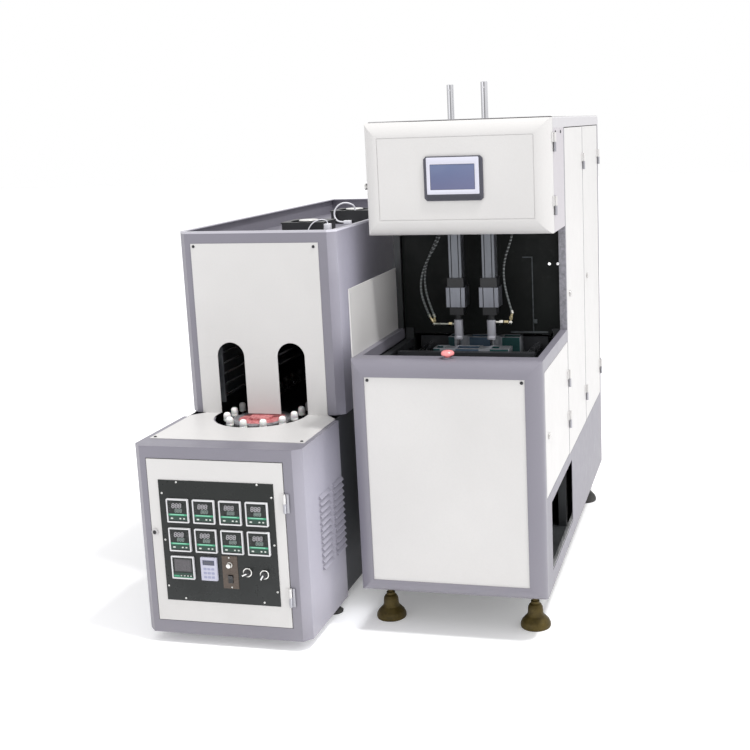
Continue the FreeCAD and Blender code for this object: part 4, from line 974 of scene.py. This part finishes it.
def hose_end(route, to, r, ferrule):
    a, b = Vector(route[-2]), Vector(route[-1])
    d = (b - a).normalized()
    ft.stick(ferrule, b - d * 0.5, b + d * 12.5, [(r - 1.2, 0), (r, 0.06), (r, 0.3), (r - 0.9, 0.36), (r - 0.9, 0.46), (r, 0.52), (r, 0.9), (r - 1.0, 1)], 20)
    ft.stick(m_brass, b + d * 9, to, [(r - 1.7, 0), (r - 1.7, 0.5), (r - 1.7, 1)], 16)
    m_ = b + d * 9 + (Vector(to) - (b + d * 9)) * 0.35
    n_ = b + d * 9 + (Vector(to) - (b + d * 9)) * 0.72
    ft.stick(m_brass, m_, n_, [(r - 0.6, 0), (r + 0.3, 0.08), (r + 0.3, 0.92), (r - 0.6, 1)], 6)


def ball(p, mat, at, r, n=20, rows=10):
    p.lathe(mat, [(max(r * math.sin(math.pi * i / rows), 0.01), -r * math.cos(math.pi * i / rows)) for i in range(rows + 1)], at, "z", n)


H = HOSES
hose_end(H["air_hose_left"], (-152, 490, 992), 6.0, m_nickel_dull)
hose_end(H["air_hose_middle"], (-152, 490, 992), 6.0, m_nickel_dull)
ball(ft, m_nickel_dull, (-152, 490, 992), 8)
ft.stick(m_nickel_dull, (-150, 490, 992), (-77.4, 490, 992), [(5.4, 0), (5.4, 0.25), (6.4, 0.27), (6.4, 0.33), (5.4, 0.35), (5.4, 1)], 18)
ft.stick(m_brass, (-98, 490, 992), (-84, 490, 992), [(7.4, 0), (8.4, 0.08), (8.4, 0.92), (7.4, 1)], 6)
hose_end(H["air_hose_right"], (131, 490, 1000), 6.5, m_nickel)
ball(ft, m_nickel, (131, 490, 1000), 8.5)
ft.stick(m_brass, (130, 490, 1000), (108, 490, 1000), [(5.4, 0), (5.4, 1)], 18)
ft.stick(m_brass, (124, 490, 1000), (108, 490, 1000), [(7.4, 0), (8.4, 0.08), (8.4, 0.92), (7.4, 1)], 6)
ft.stick(m_nickel, (106, 490, 1000), (77.4, 490, 1000), [(5.4, 0), (9.2, 0.02), (9.8, 0.08), (9.8, 0.5), (9.2, 0.56), (5.6, 0.58), (5.6, 1)], 6)
ft.done("hose_fittings")

# ------------------------------------------------------------------ red button, panel screws
bt = Piece("red_push_button", "red_button")
bt.lathe(m_red, [(9.9, 940.2), (9.9, 966.5), (10.6, 967.6), (17.5, 968), (20.2, 968.6), (21.6, 970.6), (22, 973.6), (21.4, 976.6), (19.4, 979.6),
                 (15.4, 982.4), (9.4, 984.1), (4.0, 984.55), (0.01, 984.6)], (5, 57, 0), "z", 40)
bt.done("red_button")

ps = Piece("cover_screws", "frame")
for q, (x, y, z) in enumerate(((-258, 3, 891), (258, 3, 891), (-974, 262.5, 1309), (-518, 262.5, 1305))):
    pan_screw(ps, m_screw, x, z, y, 5.5, 3.1, 0.3 + q * 0.7, m_case)
for q, (x, y) in enumerate(((-1000, -70), (-470, -70))):
    ps.lathe(m_screw, [(5.5, 697.1), (5.5, 698.2), (4.7, 699.4), (3.0, 700.0), (2.6, 700.1)], (x, y, 0), "z", 18, False, True)
for q, (y, z) in enumerate(((390, 1672), (507, 1672))):
    ps.lathe(m_screw, [(5.5, 0.05), (5.5, 1.2), (4.7, 2.4), (3.0, 3.0), (2.6, 3.1)], (323, y, z), "x", 18, False, True)
ps.done("panel_screws")

# ------------------------------------------------------------------ floor
bpy.ops.mesh.primitive_plane_add(size=60, location=(0, 0, -0.0005))
fl = bpy.context.object
fl.name = "studio_floor"
fl.data.materials.append(floor_mat())
